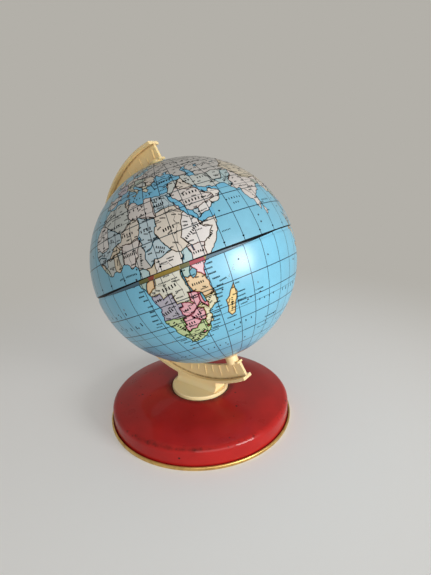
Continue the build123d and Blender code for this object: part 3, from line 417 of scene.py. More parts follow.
RIVERS = (
    "31 31, 31 30, 32.8 26, 33 24, 31.5 20, 33.9 18.5, 32.5 15.6, 32 10, 31.3 2.3",
    "32.5 15.6, 35 11.5, 37 11.8",
    "-10 10, -6 13.5, -3 16.8, 0 16.8, 3.5 12, 6.5 8, 6.3 4.5",
    "12.5 -6, 16 -4, 18 0.5, 21 2, 24 1.8, 25.5 -1, 26 -5, 27 -9",
    "18 -0.5, 20.5 0, 23.5 -1.2",
    "16.5 -3, 20.5 -4.5, 23 -6",
    "36.2 -18.8, 33 -16, 29 -16, 26 -17.8, 23 -15, 22 -12",
    "16.5 -28.6, 20 -28.5, 24 -29, 27.5 -30.5",
    "33.5 -25, 31.3 -22.4, 28 -23",
    "48 30, 44 33, 42 36.5, 39 37.5",
    "67.5 24, 69 28, 72 32, 75 35",
    "89 22.5, 85 25.5, 80 26.5, 78 29.5",
    "48 46, 45 48.5, 49 54, 40 57",
    "29.5 45, 24 43.8, 19 45.5, 18.9 47.8, 12 48.8",
    "-50 0, -56 -2, -63 -3.5, -70 -4, -73 -5",
    "-60 -3, -63 -8, -65 -10",
    "-58.5 -34, -60 -31, -57.5 -26, -57.5 -18",
    "-89.3 29.3, -91 33, -89 37, -91 42, -94 46",
    "-90 38.7, -95 39.5, -98 43, -103 47.8, -110 47.5",
    "-135 69, -128 65, -122 61.5, -114 61",
    "121.5 31.5, 112 30, 105 28.5, 99 27, 96 33",
    "118.5 37.7, 111 35, 110 40.5, 104 36.5, 98 34",
    "127 72.5, 124 66, 130 61, 118 59, 108 54",
    "82 72, 87 66, 90 60, 93 55",
    "70 66.5, 66 62, 70 59, 80 56, 85 52",
    "140.5 53, 135 48.5, 127 50, 120 53",
    "139 -35.5, 143 -34.5, 148 -36",
)

# Small islands: longitude, latitude
ISLANDS = (
    "57.5 -20.2, 55.5 -21, 63.4 -19.7, 55.5 -4.6, 72 -6.5, 73 4, 73.2 6.5, 44 -12, 39.3 -6.2, "
    "54 12.5, -5.7 -16, -14.4 -8, -12.3 -37, -10 -40.3, 3.4 -54.4, 37.9 -46.7, 52 -46.4, 69.8 -49, "
    "77.5 -38, 73.5 -53, 6.6 0.3, 8.7 3.4, 5.6 -1.4, -24 16, -23 15, -16 28.3, -14 28.5, -28 38.5, "
    "-25.5 37.8, -17 32.7, 14.4 35.9, 92.8 12, 93.7 8, 105.7 -10.5, 96.8 -12.2, -59 -51.8, -37 -54.3, "
    "-91 -0.6, -109.4 -27.1, -155.5 19.7, -158 21.4, -149.5 -17.6, -140 -9, 178 -17.8, 166 -21.5, "
    "167 -15.5, 160 -9.5, 155 -6, 144.8 13.5, 134.5 7.4, 151.7 7.3, 171 7, 173 1.4, -172 -13.7, "
    "-175 -21, -160 -21.2, -64.8 32.3, -77.4 25, -77.3 18.1, -66.4 18.2, -61.5 16.2, -61 14, "
    "-59.5 13.1, -32.4 -3.9, -29.3 -20.5, 168 -29, 158.9 -54.5, 70 -41, 8 -71, 129.5 28.3, 142 27, "
    "-177.4 28.2, -176.5 52, -168 53.3, 19 57.5, 28 36.2, 3 39.6"
)

# Rows of marks that stand for names: longitude and latitude of the row's middle, its length, the
# pitch and height of its marks in millimetres, and its slope in degrees
NAME_ROWS = (
    # North half, in front
    "14.8 28.8 11 2.9 1.5 0, 16.4 24.2 11.5 3 1.5 0, 27.7 29.2 5 1.6 1.5 0, 28 26 6 1.3 1.5 4, "
    "28 24 4 0.9 0.7 0, 45 26.5 10 2 1.7 0, 45.4 22 11 2 1.7 -2, 29 12.8 8 1.5 1.8 3, "
    "18.4 16 8.4 2 1.7 0, 8 17.5 9 1.9 1.5 0, 1.4 24.1 10 2.2 1.4 0, 1 28.5 8 0.9 0.6 0, "
    "7.4 8.7 10.5 1.3 1.6 0, 37 7.8 7 1.5 1.4 32, 41.8 9.6 8 1.5 1.4 14, 41.5 8.2 4.5 0.9 0.7 0, "
    "64.5 16.7 13 2 1.1 0, 64.6 14 5 1.7 1 0, 2.6 2.3 14.5 1.1 1 0, 45.7 34.6 7 1.8 1.4 4, "
    "56.4 34.2 7.5 1.8 1.4 0, 45.5 5.4 5.5 1.2 1.1 45, 22.8 7.1 5.5 1.2 1.3 -28, "
    "22.9 5.8 3.4 1.2 1.3 -40, 12.3 5.7 8 1.1 1.2 75, 37.9 1.7 7 1.4 1.3 0, 76.5 18 5 0.9 0.7 -50, "
    "77.5 22 8 1.5 1.1 0, 78.5 15 4 0.9 0.7 -50, 80.6 10.8 5 1 0.8 0, 82 7.2 4 1 0.8 0, "
    "66.5 32.8 6 1.3 1 0, 69 29 6 1.3 1 20, 34 39.3 10 1.6 1.2 0, 45.5 15.2 3 1 0.8 0, "
    "53.5 21.5 4 0.9 0.8 20, 58 20.5 4 0.9 0.8 45, 47.5 15.3 4 0.8 0.7 10, -8 20.5 7 1.6 1.3 0, "
    "-3.5 17.5 6 1.5 1.3 0, -5.5 7 5 1 1 0, -1 12.8 4 0.8 0.8 0, -1 8 4 0.8 0.9 80, "
    "-13.5 13.8 4 0.8 0.8 0, -10.5 10.7 4 0.9 0.9 0, -6 32 6 1 1 25, 35.5 19 5 0.8 0.6 -30, "
    "37.5 16 6 0.8 0.6 -38, 18 34.5 16 2.2 1 0, 32 33.8 5 1 0.8 0, 15 12.2 4 0.8 0.7 0, "
    "25.3 17 4 0.8 0.6 0, 33 13.5 4 0.7 0.6 0, 29 20 5 0.8 0.6 0, 19 20.5 4 0.8 0.6 0, "
    "22 10.5 4 0.8 0.6 0, 14 31 4 0.8 0.6 0, 20 26.5 4 0.8 0.6 0, 9 15 3 0.8 0.6 0, "
    "25.5 3 5 0.8 0.7 0, 22 2.2 5 0.8 0.7 0, 53 5 6 1 0.7 0",
    # South half, in front
    "21.8 -5.3 10 2 2 6, 22.6 -1.8 4 0.8 0.7 0, 20.8 -3.3 8.5 0.9 0.7 0, 25.6 -3.2 4 0.8 0.7 0, "
    "20.5 -7 5 0.8 0.7 0, 25.5 -7 5 0.8 0.7 0, 24.5 -9 5 0.8 0.7 0, 18.5 -1.4 4 0.8 0.7 0, "
    "34.6 -6.9 8 1.3 1.3 0, 33.5 -4.2 4 0.8 0.7 0, 36.5 -9 5 0.8 0.7 0, 16 -13.2 8.4 1.6 2 14, "
    "14.3 -7.8 5 1.5 1.6 6, 19 -15.6 5 0.8 0.7 0, 19.5 -10 4 0.8 0.7 0, 17.3 -21.5 9 1.6 1.7 -62, "
    "19 -25 6 1.3 1.3 -50, 23.4 -32.3 11 1.8 1.7 34, 20.5 -31 7 1.4 1.4 40, 26.5 -29 6 1.2 1.2 30, "
    "38.2 -12.3 9 1.2 1.3 50, 34.2 -23.8 5 1 0.9 62, 28.5 -19 7 1.6 1.7 20, 25 -15 6 1.4 1.4 12, "
    "23.5 -22 6 1.6 1.5 0, 24 -23.8 5 1 1 0, 30 -10.5 5 1.2 1.1 20, 27.5 -13.5 4 0.9 0.8 0, "
    "30 -20.7 4 0.9 0.8 10, 31.5 -17.6 4 0.9 0.8 0, 37.9 -1.6 3.4 1 0.8 0, 46.7 -20 9 1.2 1 78, "
    "45.6 -18 3 0.8 0.7 60, -12.5 -15.8 33 6.4 2.3 0, 7 -18.5 5 1.2 0.8 0, 7.2 -5 4 0.7 0.8 0, "
    "8.4 -6.5 3.4 0.7 0.8 0, 9.1 -8.7 4 0.7 0.8 0, 8.2 -12.6 5 0.7 0.9 0, 7.2 -15 4.6 0.7 0.9 0, "
    "9.5 -20 4 0.7 0.7 0, 11 -23.5 4 0.7 0.7 0, 12.6 -28 4 0.7 0.7 0, 14 -31 5 0.7 0.7 0, "
    "15 -33.2 5 0.7 0.8 0, 17.6 -36.6 6 0.7 0.8 0, 23 -36.2 6 0.7 0.8 0, 29.5 -34.2 5 0.7 0.7 0, "
    "33.5 -31.2 5 0.7 0.7 0, 36 -27.6 5 0.7 0.7 0, 41.2 -4 5 0.7 0.8 0, 43 -7.3 4.4 0.8 0.9 0, "
    "45.7 -8.5 5 0.8 0.8 8, 51.7 -11.5 3 0.7 0.7 0, 39.8 -16.4 4 0.8 0.8 0, 38.2 -21 5 0.7 0.8 0, "
    "40 -18.6 4 0.7 0.7 0, 52.4 -17.6 7 0.7 0.8 0, 52.2 -19.5 6 0.7 0.8 0, 45 -27 6 0.7 0.8 0, "
    "63.5 -18.2 7 0.7 0.9 0, 74 -37.5 12 0.8 0.8 0, 67.5 -43.2 10 0.8 0.8 0, 51 -33 16 4 1.5 0, "
    "56 -40 8 0.9 0.7 0, 41.3 -1.4 4 0.7 0.9 0, 42.2 -2.6 4 0.7 0.9 0, 42 -5.6 5 0.7 0.9 0, "
    "43.6 -9.8 4 0.7 0.9 0, 42.8 -11.2 5 0.7 0.8 0, 42 -13 4 0.7 0.8 0, 41.6 -14.6 4 0.7 0.8 0, "
    "37.6 -23 4 0.7 0.8 0, 36.6 -25.4 4 0.7 0.8 0, 34.6 -29.2 4 0.7 0.8 0, 8.6 -3.6 4 0.7 0.9 0, "
    "8.6 -10.6 4 0.7 0.9 0, 8 -17 4 0.7 0.8 0, 53 -15.6 5 0.7 0.8 0, 53 -22 5 0.7 0.8 0, "
    "45 -36 9 0.8 0.7 0, 30 -45 18 4 1.3 0, 0 -46 16 3.6 1.2 0, 68 -24 14 4 1.4 0",
    # North half, behind
    "60 55 26 4.4 2 0, 60 50 18 4 1.8 0, 100 62 24 4 2 0, 100 36 22 4 2.2 0, 103 46 12 2 1.4 0, "
    "137 36.5 6 1.2 1 40, 101 15.5 4 1 0.9 60, 106 15 5 1 0.9 -60, 96 21 4 1 0.9 70, 85 12 8 1.4 1 0, "
    "120 8 8 1.3 0.9 40, 140 20 18 4 1.6 0, 160 35 22 4.4 1.8 0, 175 12 22 4.4 1.8 0, "
    "-150 40 24 4.4 1.8 0, -140 15 22 4.4 1.8 0, -120 8 12 2 1.1 0, -100 56 20 3.6 2 0, "
    "-98 39 24 3.2 2.2 0, -103 24 9 1.6 1.5 -36, -150 64 8 1.6 1.5 0, -41 72 13 2.4 1.6 0, "
    "-60 30 18 4 1.6 0, -40 45 22 4.4 1.7 0, -35 20 20 4.4 1.7 0, -90 25.5 10 1.6 1 0, "
    "-75 15 12 1.7 1 0, -87 60 7 1.6 1 -60, -3 55 3 1 0.8 70, -3 40 5 1 1 0, 2.4 46.5 5 1.1 1 0, "
    "11 51 4 1 0.9 0, 20 52 4 1 0.9 0, 12.7 42.5 5 1 0.8 -45, 15 63 6 1.2 1 62, 27 64 4 1.2 1 0, "
    "40 57 9 1.6 1.4 0, 30 49 8 1.2 1.1 0, 66 45 9 1.4 1.2 0, 90 66 12 2 1.3 0, 130 66 12 2 1.3 0, "
    "150 74 14 2.6 1.3 0, 40 74 10 2 1.2 0, 5 66 10 2 1.2 40",
    # South half, behind
    "-53 -10 18 3.6 2.2 0, -65 -36 12 2.2 1.7 75, -64 -17 6 1.3 1.3 0, -75.5 -9 5 1.2 1.2 -50, "
    "-73 4 7 1.4 1.3 0, -66 7.5 7 1.2 1.2 0, -71 -33 9 1.2 1 84, -58 -23 4 1 0.9 -50, "
    "-56 -33 4 0.9 0.8 0, -16 -9 30 7 1.9 0, -28 -35 20 4.2 1.7 0, -100 -15 22 4.4 1.8 0, "
    "-110 -38 22 4.4 1.8 0, -150 -30 22 4.4 1.8 0, -165 -12 16 3 1.4 0, 134 -24 20 3.4 2 0, "
    "122 -27 9 1.6 1.3 0, 145 -23 8 1.4 1.2 0, 147 -32 7 1.2 1 0, 90 -25 22 4.4 1.8 0, "
    "95 -45 22 4.4 1.7 0, 157 -38 9 1.6 1 0, 140 -5.5 7 1.4 1.1 -20, 114 0.5 5 1.4 1.1 20, "
    "102 -0.5 6 1.3 0.9 -48, 110 -7.3 6 1 0.8 -8, 0 -77 16 3.2 1.8 0, 110 -77 16 3.2 1.8 0, "
    "172 -42 8 1.2 0.9 52",
)

# Chips and rubs in the print: longitude, latitude, width and height in millimetres
WEAR_MARKS = (
    "-10.1 -3 0.9 1.1, -7.3 -6.9 1.2 1.4, -20.8 34.3 1 1.6, 7.2 -29.8 1.6 1, 15.4 -39.4 2.2 1.1, "
    "62.7 -15 0.8 1.5, 57.1 -5 0.5 1.3, 51.8 -6.2 1.1 0.5, 48.8 -8.3 0.5 1, 56 -3.7 0.7 0.7, "
    "56.6 -4.3 0.9 0.6, 57.8 -4.2 0.6 0.7, 57.9 -5.3 0.6 0.8, 57 -5.8 0.9 0.6, 60 -5.2 0.7 0.5, "
    "60.6 -4.7 0.8 0.4, 52.5 -5.6 0.6 0.6, 51.3 -6.7 0.8 0.5, 52 -7 0.5 0.7, 49.3 -7.8 0.5 0.6, "
    "47.9 -8.8 0.6 0.5, -120 -20 1 1.6, 150 20 1.2 0.8, 110 48 0.8 1.4, -60 -2 1.4 0.8, -30 40 1 1.2, "
    "-95 -45 1.6 1, 175 -30 1 1, 95 -12 0.7 1.4, -45 10 1.2 0.7"
)
CHIP_INK = linear("#6b5b50")

# Widths of printed lines, in millimetres
COAST_LINE = 0.46
BORDER_LINE = 0.4
GRID_LINE = 0.58
MERIDIAN_LINE = GRID_LINE * 0.8
TROPIC_LINE = GRID_LINE / 2
RIVER_LINE = 0.28
PAINT_LINE = 0.3

# How far coasts and borders stray from the drawn line, as a share of each run between two points,
# which runs stray, in degrees, how often each is halved, and the corners of a land that strays fully
COAST_REACH = 0.2
BORDER_REACH = 0.1
SHORTEST_RUN = 1.2
LONGEST_RUN = 90
STRAY_PASSES = 3
LARGE_LAND = 24

# First numbers of the random draws, so that no two kinds of mark share one
LAKE_DRAWS = 1000
RIVER_DRAWS = 2000
NAME_DRAWS = 3000
CHIP_DRAWS = 4000
TOWN_DRAWS = 7

# Small spots: corners, how far they swell, and the width and height of islands and degree dots
SPOT_CORNERS = 8
SPOT_SWELL = (0.35, 0.6)
ISLAND_SIZE = (0.9, 0.7)
DOT_SIZE = (1.5, 1.3)
DOT_LATITUDE = 1.5

# Towns: latitudes they lie between and degrees from one to the next, then the range of a row's length,
# the pitch and height of its marks in millimetres, and its slope in degrees
TOWN_LATITUDES = (-34, 68)
TOWN_STEP = 4.6
TOWN_LENGTHS = (1.8, 3.6)
TOWN_MARK = (0.72, 0.8)
TOWN_SLOPES = (0, 0, 0, -20, 25)

# Flat sheet of a half, in degrees from its pole: the seam, how far past it an outline still matters,
# the steps between points inside and along the seam, the fewest points of a ring, the least gap
# between points and the least area of a piece
SEAM_OUT = 90
PAST_SEAM = 6
GRID_STEP = 2.5
RIM_STEP = 1.5
RING_LEAST = 16
CUT_TOLERANCE = 1e-4
SLIVER = 1e-4

# The neck under the rim, in millimetres below it: the painted shade is narrow in front, at this turn in
# degrees, and widens by so much a degree, and the bare neck under it is wide in front
NECK_FRONT = -62
SHADE_FRONT = 0.55
SHADE_FLAT = 8
SHADE_GROWTH = 0.032
SHADE_LIMITS = (0.5, 2.4)
BARE_MIDDLE = -1.9
BARE_SWING = 4.8
BARE_LIMITS = (0.5, 2.8)
SHADE_OVER_PAINT = 0.3

# Rows and columns of the unprinted side and the pan, and the angle past which an edge is sharp
INSIDE_COLUMNS = 128
INSIDE_ROWS = 24
NECK_ROWS = 4
PAN_COLUMNS = 240
FILLET_STEPS = 10
SHARP_ANGLE = math.radians(40)

# Bake map: middle and half-width of the print, and of the unprinted side in a corner
PRINT_PATCH = (0.5, 0.49)
INSIDE_PATCH = (0.07, 0.06)

# Pan: run and rise of the step round its sunk middle, lip of its hem, and radius at each inner corner
RECESS_RUN = 0.9
RECESS_RISE = 0.8
HEM_LIP = 1.1
PAN_FILLETS = (0.9, 0.4, 60, 4.6, 0.9, 0.9, 0.9)

# Lights: direction from the ball, distance and size in metres, and power in watts
WINDOWS = {
    "right_window": ((0.986, -0.063, 0.153), 1.2, (0.46, 0.38), 9.8),
    "room_behind": ((0.76, -0.64, -0.03), 1.3, (1.0, 1.0), 8.2),
}
ROOM_COLOUR = (1.0, 0.98, 0.95, 1)
ROOM_STRENGTH = 0.33

# Floor: radius in metres, corners, the reach over which it runs into the colour behind, the share of
# its glow and the strength of it
FLOOR_RADIUS = 3
FLOOR_CORNERS = 96
FLOOR_FADE = (0.12, 0.5)
FLOOR_GLOW_SHARE = 0.22
FLOOR_GLOW = 1.42

# Camera fitted to the photograph: place and aim in metres, lens in millimetres, tilt in degrees
EYE = Vector((0.1834, -0.2315, 0.2015))
AIM = Vector((0.0177, 0.0013, 0.1099))
LENS = 25.04
TILT = -1.79
NEAR_CLIP = 0.01


def pairs_in(text):
    """Rows of numbers in a given list."""
    return [[float(n) for n in row.split()] for row in text.split(",") if row.strip()]


def roughened(pairs, closed, reach, seed):
    """A line with each long run broken in the middle by a step to one side, as a coast is."""
    draw = random.Random(seed)
    line = [Vector(pair) for pair in pairs]
    if closed:
        line.append(line[0])
    for _ in range(STRAY_PASSES):
        finer = line[:1]
        for start, end in zip(line, line[1:]):
            run = end - start
            if SHORTEST_RUN < run.length < LONGEST_RUN:
                finer.append((start + end) / 2 + run.orthogonal() * draw.uniform(-reach, reach))
            finer.append(end)
        line = finer
    return line[:-1] if closed else line


class Half:
    """One printed half: how its map lies on the flat, in degrees from its pole, and its own inks."""

    def __init__(self, name, sign, twist, fill, tint):
        self.name = name
        self.sign = sign
        self.twist = twist
        self.fill = fill
        self.tint = tint

    def flat(self, pairs):
        """Flat places of longitude and latitude pairs."""
        longitude, latitude = np.array(pairs, float).T
        out = SEAM_OUT - self.sign * np.interp(latitude, PRINT_LATITUDES, PRINT_PLACES)
        turn = np.radians(longitude - self.twist)
        return np.stack([out * np.cos(turn), out * np.sin(turn)], 1)

    def shows(self, pairs):
        """Whether any part of an outline comes near this half."""
        return any(self.sign * pair[1] > -PAST_SEAM for pair in pairs)

    def beside(self, place, east, north):
        """Flat place that lies so many millimetres east and north of another."""
        outward, along, squeeze = local_axes(np.array([place]))
        return (place + along[0] * east * DEGREES_PER_MM / squeeze[0]
                - outward[0] * self.sign * north * DEGREES_PER_MM)


# Name, sign of the pole, twist, where its inks begin in a row of INKS, and width of its tint
HALVES = (
    Half("north_half", 1, NORTH_TWIST, 0, NORTH_TINT),
    Half("south_half", -1, SOUTH_TWIST, 2, SOUTH_TINT),
)


def local_axes(places):
    """Outward and along directions at flat places, and how far the ball squeezes the second."""
    out = np.linalg.norm(places, axis=1)
    outward = places / np.maximum(out, 1e-6)[:, None]
    along = np.stack([-outward[:, 1], outward[:, 0]], 1)
    reach = np.radians(np.maximum(out, 1e-3))
    return outward, along, np.maximum(np.sin(reach) / reach, 0.05)


def ribbon(line, left, right):
    """Four-sided pieces along a flat line, from left to right of it in millimetres on the ball."""
    places = np.array(line, float)
    closed = len(places) > 3 and np.allclose(places[0], places[-1])
    outward, along, squeeze = local_axes(places)

    def as_on_ball(runs):
        seen = np.stack([(runs * outward).sum(1), squeeze * (runs * along).sum(1)], 1)
        return seen / np.maximum(np.linalg.norm(seen, axis=1), 1e-9)[:, None]

    past_end = places[1:2] if closed else 2 * places[-1:] - places[-2:-1]
    before_start = places[-2:-1] if closed else 2 * places[:1] - places[1:2]
    after = as_on_ball(np.diff(places, axis=0, append=past_end))
    before = as_on_ball(np.diff(places, axis=0, prepend=before_start))
    middle = after + before
    middle /= np.maximum(np.linalg.norm(middle, axis=1), 1e-6)[:, None]
    # A sharp corner is mitred only so far
    mitre = 1 / np.clip((middle * after).sum(1), 0.6, 1)
    side = np.stack([-middle[:, 1], middle[:, 0]], 1) * mitre[:, None]
    step = (outward * side[:, :1] + along * side[:, 1:] / squeeze[:, None]) * DEGREES_PER_MM
    one, other = places + step * left, places + step * right
    pieces = []
    for quad in np.stack([one[:-1], one[1:], other[1:], other[:-1]], 1):
        if is_convex(quad):
            pieces.append(quad)
        else:
            pieces += [part for part in (quad[:3], quad[[0, 2, 3]]) if abs(doubled_area(part)) > SLIVER]
    return pieces


def doubled_area(outline):
    """Twice the area of a flat outline, positive if it runs to the left."""
    ahead = np.roll(outline, -1, axis=0)
    return (outline[:, 0] * ahead[:, 1] - outline[:, 1] * ahead[:, 0]).sum()


def is_convex(outline):
    """Whether a flat outline turns one way at every corner."""
    run = np.roll(outline, -1, axis=0) - outline
    ahead = np.roll(run, -1, axis=0)
    turn = run[:, 0] * ahead[:, 1] - run[:, 1] * ahead[:, 0]
    return (turn > 1e-6).all() or (turn < -1e-6).all()


def chained(steps):
    """Directed steps joined end to start into lines of points."""
    after = {}
    for start, end in steps:
        after.setdefault(start, []).append(end)
    lines = []
    while after:
        line = [next(iter(after))]
        while line[-1] in after:
            choices = after[line[-1]]
            following = choices.pop()
            if not choices:
                del after[line[-1]]
            line.append(following)
        lines.append(line)
    return lines


def cut_sheet(shapes, loose):
    """Triangles of the flat sheet cut along every shape, with the shapes that lie under each."""
    points, faces = [Vector(place) for place in loose], []
    for shape in shapes:
        outline = shape["outline"]
        faces.append(list(range(len(points), len(points) + len(outline))))
        points.extend(Vector(place) for place in (outline if doubled_area(outline) > 0 else outline[::-1]))
    places, _, triangles, _, _, under = geometry.delaunay_2d_cdt(points, [], faces, 0, CUT_TOLERANCE)
    # A shape thinner than the tolerance spills over the whole sheet, so each counts only inside its own box
    boxes = [(*shape["outline"].min(0).tolist(), *shape["outline"].max(0).tolist()) for shape in shapes]
    kept = []
    for (a, b, c), below in zip(triangles, under):
        x = (places[a].x + places[b].x + places[c].x) / 3
        y = (places[a].y + places[b].y + places[c].y) / 3
        kept.append([i for i in below if boxes[i][0] < x < boxes[i][2] and boxes[i][1] < y < boxes[i][3]])
    return np.array([tuple(place) for place in places]), triangles, kept


def region_under(shapes, under):
    """Index of the land or country on top at a triangle, or a word for water and waste."""
    kinds = {}
    for index in sorted(under):
        kinds[shapes[index]["kind"]] = index
    if "sheet" not in kinds or "hole" in kinds:
        return "waste"
    if "land" not in kinds:
        return "gulf" if "gulf" in kinds else "sea"
    if "lake" in kinds:
        return "lake"
    return kinds.get("country", kinds["land"])


def ring(out, step=GRID_STEP):
    """Flat places on a circle about the pole."""
    count = max(RING_LEAST, round(360 * math.sin(math.radians(min(out, SEAM_OUT))) / step))
    turns = np.radians(np.arange(count) * 360 / count)
    return out * np.stack([np.cos(turns), np.sin(turns)], 1)


def map_shapes(half, hole):
    """Sheet, lands, countries and lakes of one half, each an outline on the flat."""
    shapes = [dict(kind="sheet", outline=ring(SEAM_OUT, RIM_STEP)), dict(kind="hole", outline=ring(hole))]

    def add(kind, ink, pairs, reach, seed):
        if half.shows(pairs):
            outline = half.flat(roughened(pairs, True, reach, seed))
            shapes.append(dict(kind=kind, ink=ink, outline=outline))

    for name, text in LANDS.items():
        pairs = pairs_in(text)
        reach = COAST_REACH if len(pairs) > LARGE_LAND else COAST_REACH / 3
        add("land", LAND_INKS.get(name, "buff"), pairs, reach, name)
    for number, (ink, text) in enumerate(COUNTRIES):
        add("country", ink, pairs_in(text), BORDER_REACH, number)
    for number, text in enumerate(GULFS):
        add("gulf", "gulf", pairs_in(text), 0, number)
    for number, text in enumerate(LAKES):
        add("lake", "lake", pairs_in(text), COAST_REACH / 2, LAKE_DRAWS + number)
    for number, pair in enumerate(pairs_in(ISLANDS)):
        if half.shows([pair]):
            outline = spot(half, half.flat([pair])[0], *ISLAND_SIZE, number)
            shapes.append(dict(kind="land", ink="rose", outline=outline))
    return shapes


def spot(half, place, width, height, seed):
    """A small ragged spot on the flat, its size in millimetres."""
    draw = random.Random(seed)
    outline = []
    for corner in range(SPOT_CORNERS):
        turn = math.radians(360 * corner / SPOT_CORNERS)
        swell = draw.uniform(*SPOT_SWELL)
        outline.append(half.beside(place, width * swell * math.cos(turn), height * swell * math.sin(turn)))
    return np.array(outline)


def border_shapes(half, places, triangles, regions):
    """Tinted bands inside each country, and the lines along borders and coasts."""
    owner = {}
    for triangle, region in zip(triangles, regions):
        for a, b in zip(triangle, triangle[1:] + triangle[:1]):
            owner[a, b] = region
    bands, lines = {}, {"coast": [], "border": []}
    for (a, b), region in owner.items():
        across = owner.get((b, a), "waste")
        if region == across or isinstance(region, str) or across == "waste":
            continue
        bands.setdefault(region, []).append((a, b))
        if isinstance(across, str):
            lines["coast"].append((a, b))
        elif region < across:
            lines["border"].append((a, b))
    made = []
    for region, steps in bands.items():
        for line in chained(steps):
            for outline in ribbon(places[line], 0, half.tint):
                made.append(dict(kind="tint", region=region, outline=outline))
    for kind, ink, width in (("coast", COAST_INK, COAST_LINE), ("border", BORDER_INK, BORDER_LINE)):
        for line in chained(lines[kind]):
            for outline in ribbon(places[line], width / 2, -width / 2):
                made.append(dict(kind="overprint", ink=ink, outline=outline))
    return made


def line_shapes(half):
    """Parallels, meridians and rivers."""
    made = []

    def draw(line, width, ink, kind="overprint"):
        for outline in ribbon(line, width / 2, -width / 2):
            made.append(dict(kind=kind, ink=ink, outline=outline))

    circles = [(10 * tens, GRID_LINE) for tens in range(1, 9)]
    circles += [(latitude, TROPIC_LINE) for latitude in (23.5, 66.5)]
    for latitude, width in circles:
        circle = [(turn, half.sign * latitude) for turn in np.arange(-180, 181, 2.0)]
        draw(half.flat(circle), width, LINE_INK)
    for longitude in range(-180, 180, 10):
        # Every third meridian runs nearly to the pole
        last = 80 if longitude % 30 else 88
        reach = [(longitude, half.sign * latitude) for latitude in np.arange(-2, last + 1, 3.0)]
        draw(half.flat(reach), MERIDIAN_LINE, LINE_INK)
    for number, text in enumerate(RIVERS):
        pairs = pairs_in(text)
        if half.shows(pairs):
            line = roughened(pairs, False, COAST_REACH, RIVER_DRAWS + number)
            draw(half.flat(line), RIVER_LINE, RIVER_INK, "river")
    return made


def row_of_marks(half, row, seed):
    """Small upright marks in a row, where a map has a name."""
    longitude, latitude, length, pitch, height, slope = row
    middle = half.flat([(longitude, latitude)])[0]
    draw = random.Random(seed)
    lean = math.radians(slope)
    count = max(3, round(length / pitch))
    made = []
    for i in range(count):
        # A long row has gaps, as between words, and its marks differ in width and height
        if count > 9 and draw.random() < 0.1:
            continue
        at = (i - (count - 1) / 2) * pitch
        reach = min(pitch * 0.45, 0.25 + 0.12 * height) * draw.uniform(0.75, 1)
        top, bottom = height * draw.uniform(0.48, 0.6), -height * draw.uniform(0.48, 0.6)
        outline = []
        for x, y in ((at - reach, bottom), (at + reach, bottom), (at + reach, top), (at - reach, top)):
            east = x * math.cos(lean) - y * math.sin(lean)
            outline.append(half.beside(middle, east, x * math.sin(lean) + y * math.cos(lean)))
        made.append(dict(kind="overprint", ink=NAME_INK, outline=np.array(outline)))
    return made


def is_inside(place, outline):
    """Whether a place lies inside an outline."""
    x, y = place
    crossings = 0
    for (ax, ay), (bx, by) in zip(outline, outline[1:] + outline[:1]):
        if (ay > y) != (by > y) and x < ax + (bx - ax) * (y - ay) / (by - ay):
            crossings += 1
    return crossings % 2 == 1


def town_rows():
    """Short rows for towns, one to each patch of land a few degrees wide."""
    draw = random.Random(TOWN_DRAWS)
    lands = [pairs_in(text) for text in LANDS.values()]
    rows = []
    for latitude in np.arange(*TOWN_LATITUDES, TOWN_STEP * 0.8):
        # Towns stand closer together in the far north and in the south
        closer = 0.8 if latitude > 40 or latitude < 0 else 1
        step = TOWN_STEP / math.cos(math.radians(latitude)) * closer
        for longitude in np.arange(-168, 178, step):
            place = (longitude + draw.uniform(-0.4, 0.4) * step, latitude + draw.uniform(-1.2, 1.2))
            length = draw.uniform(*TOWN_LENGTHS)
            if abs(place[1]) > 2 and any(is_inside(place, land) for land in lands):
                rows.append((*place, length, *TOWN_MARK, draw.choice(TOWN_SLOPES)))
    return rows


def name_shapes(half):
    """Rows of marks for names and towns, degree dots beside the seam, and chips in the print."""
    made = []
    rows = [row for group in NAME_ROWS for row in pairs_in(group)] + town_rows()
    for number, row in enumerate(rows):
        if half.sign * row[1] > 0:
            made += row_of_marks(half, row, NAME_DRAWS + number)
    if half.sign > 0:
        for longitude in range(-180, 180, 10):
            outline = spot(half, half.flat([(longitude, DOT_LATITUDE)])[0], *DOT_SIZE, longitude)
            made.append(dict(kind="overprint", ink=NAME_INK, outline=outline))
    for number, (longitude, latitude, width, height) in enumerate(pairs_in(WEAR_MARKS)):
        if half.sign * latitude > 0:
            outline = spot(half, half.flat([(longitude, latitude)])[0], width, height, CHIP_DRAWS + number)
            made.append(dict(kind="chip", ink=CHIP_INK, outline=outline))
    return made


def ink_of(half, shapes, under, on_neck):
    """Colour of one triangle of the print."""
    region = region_under(shapes, under)
    inks = INKS[region if isinstance(region, str) else shapes[region]["ink"]]
    kinds = {shapes[index]["kind"] for index in under}
    # The neck past the lit line is painted with the shade colour
    if on_neck and "lit" not in kinds:
        return PAINTED_SEAM_SHADE
    # The neck's own colour: a deeper tint, darkened as painted shade of the recessed neck
    if on_neck and "painted" not in kinds:
        return linear(inks[4])
    colour = linear(inks[half.fill])
    darker = (1, 1, 1)
    for index in under:
        shape = shapes[index]
        if shape["kind"] == "tint" and shape["region"] == region:
            colour = linear(inks[half.fill + 1])
        elif shape["kind"] == "overprint" or shape["kind"] == "river" and not isinstance(region, str):
            darker = min(darker, shape["ink"], key=sum)
        elif shape["kind"] == "chip":
            return shape["ink"]
    return tuple(c * d for c, d in zip(colour, darker))


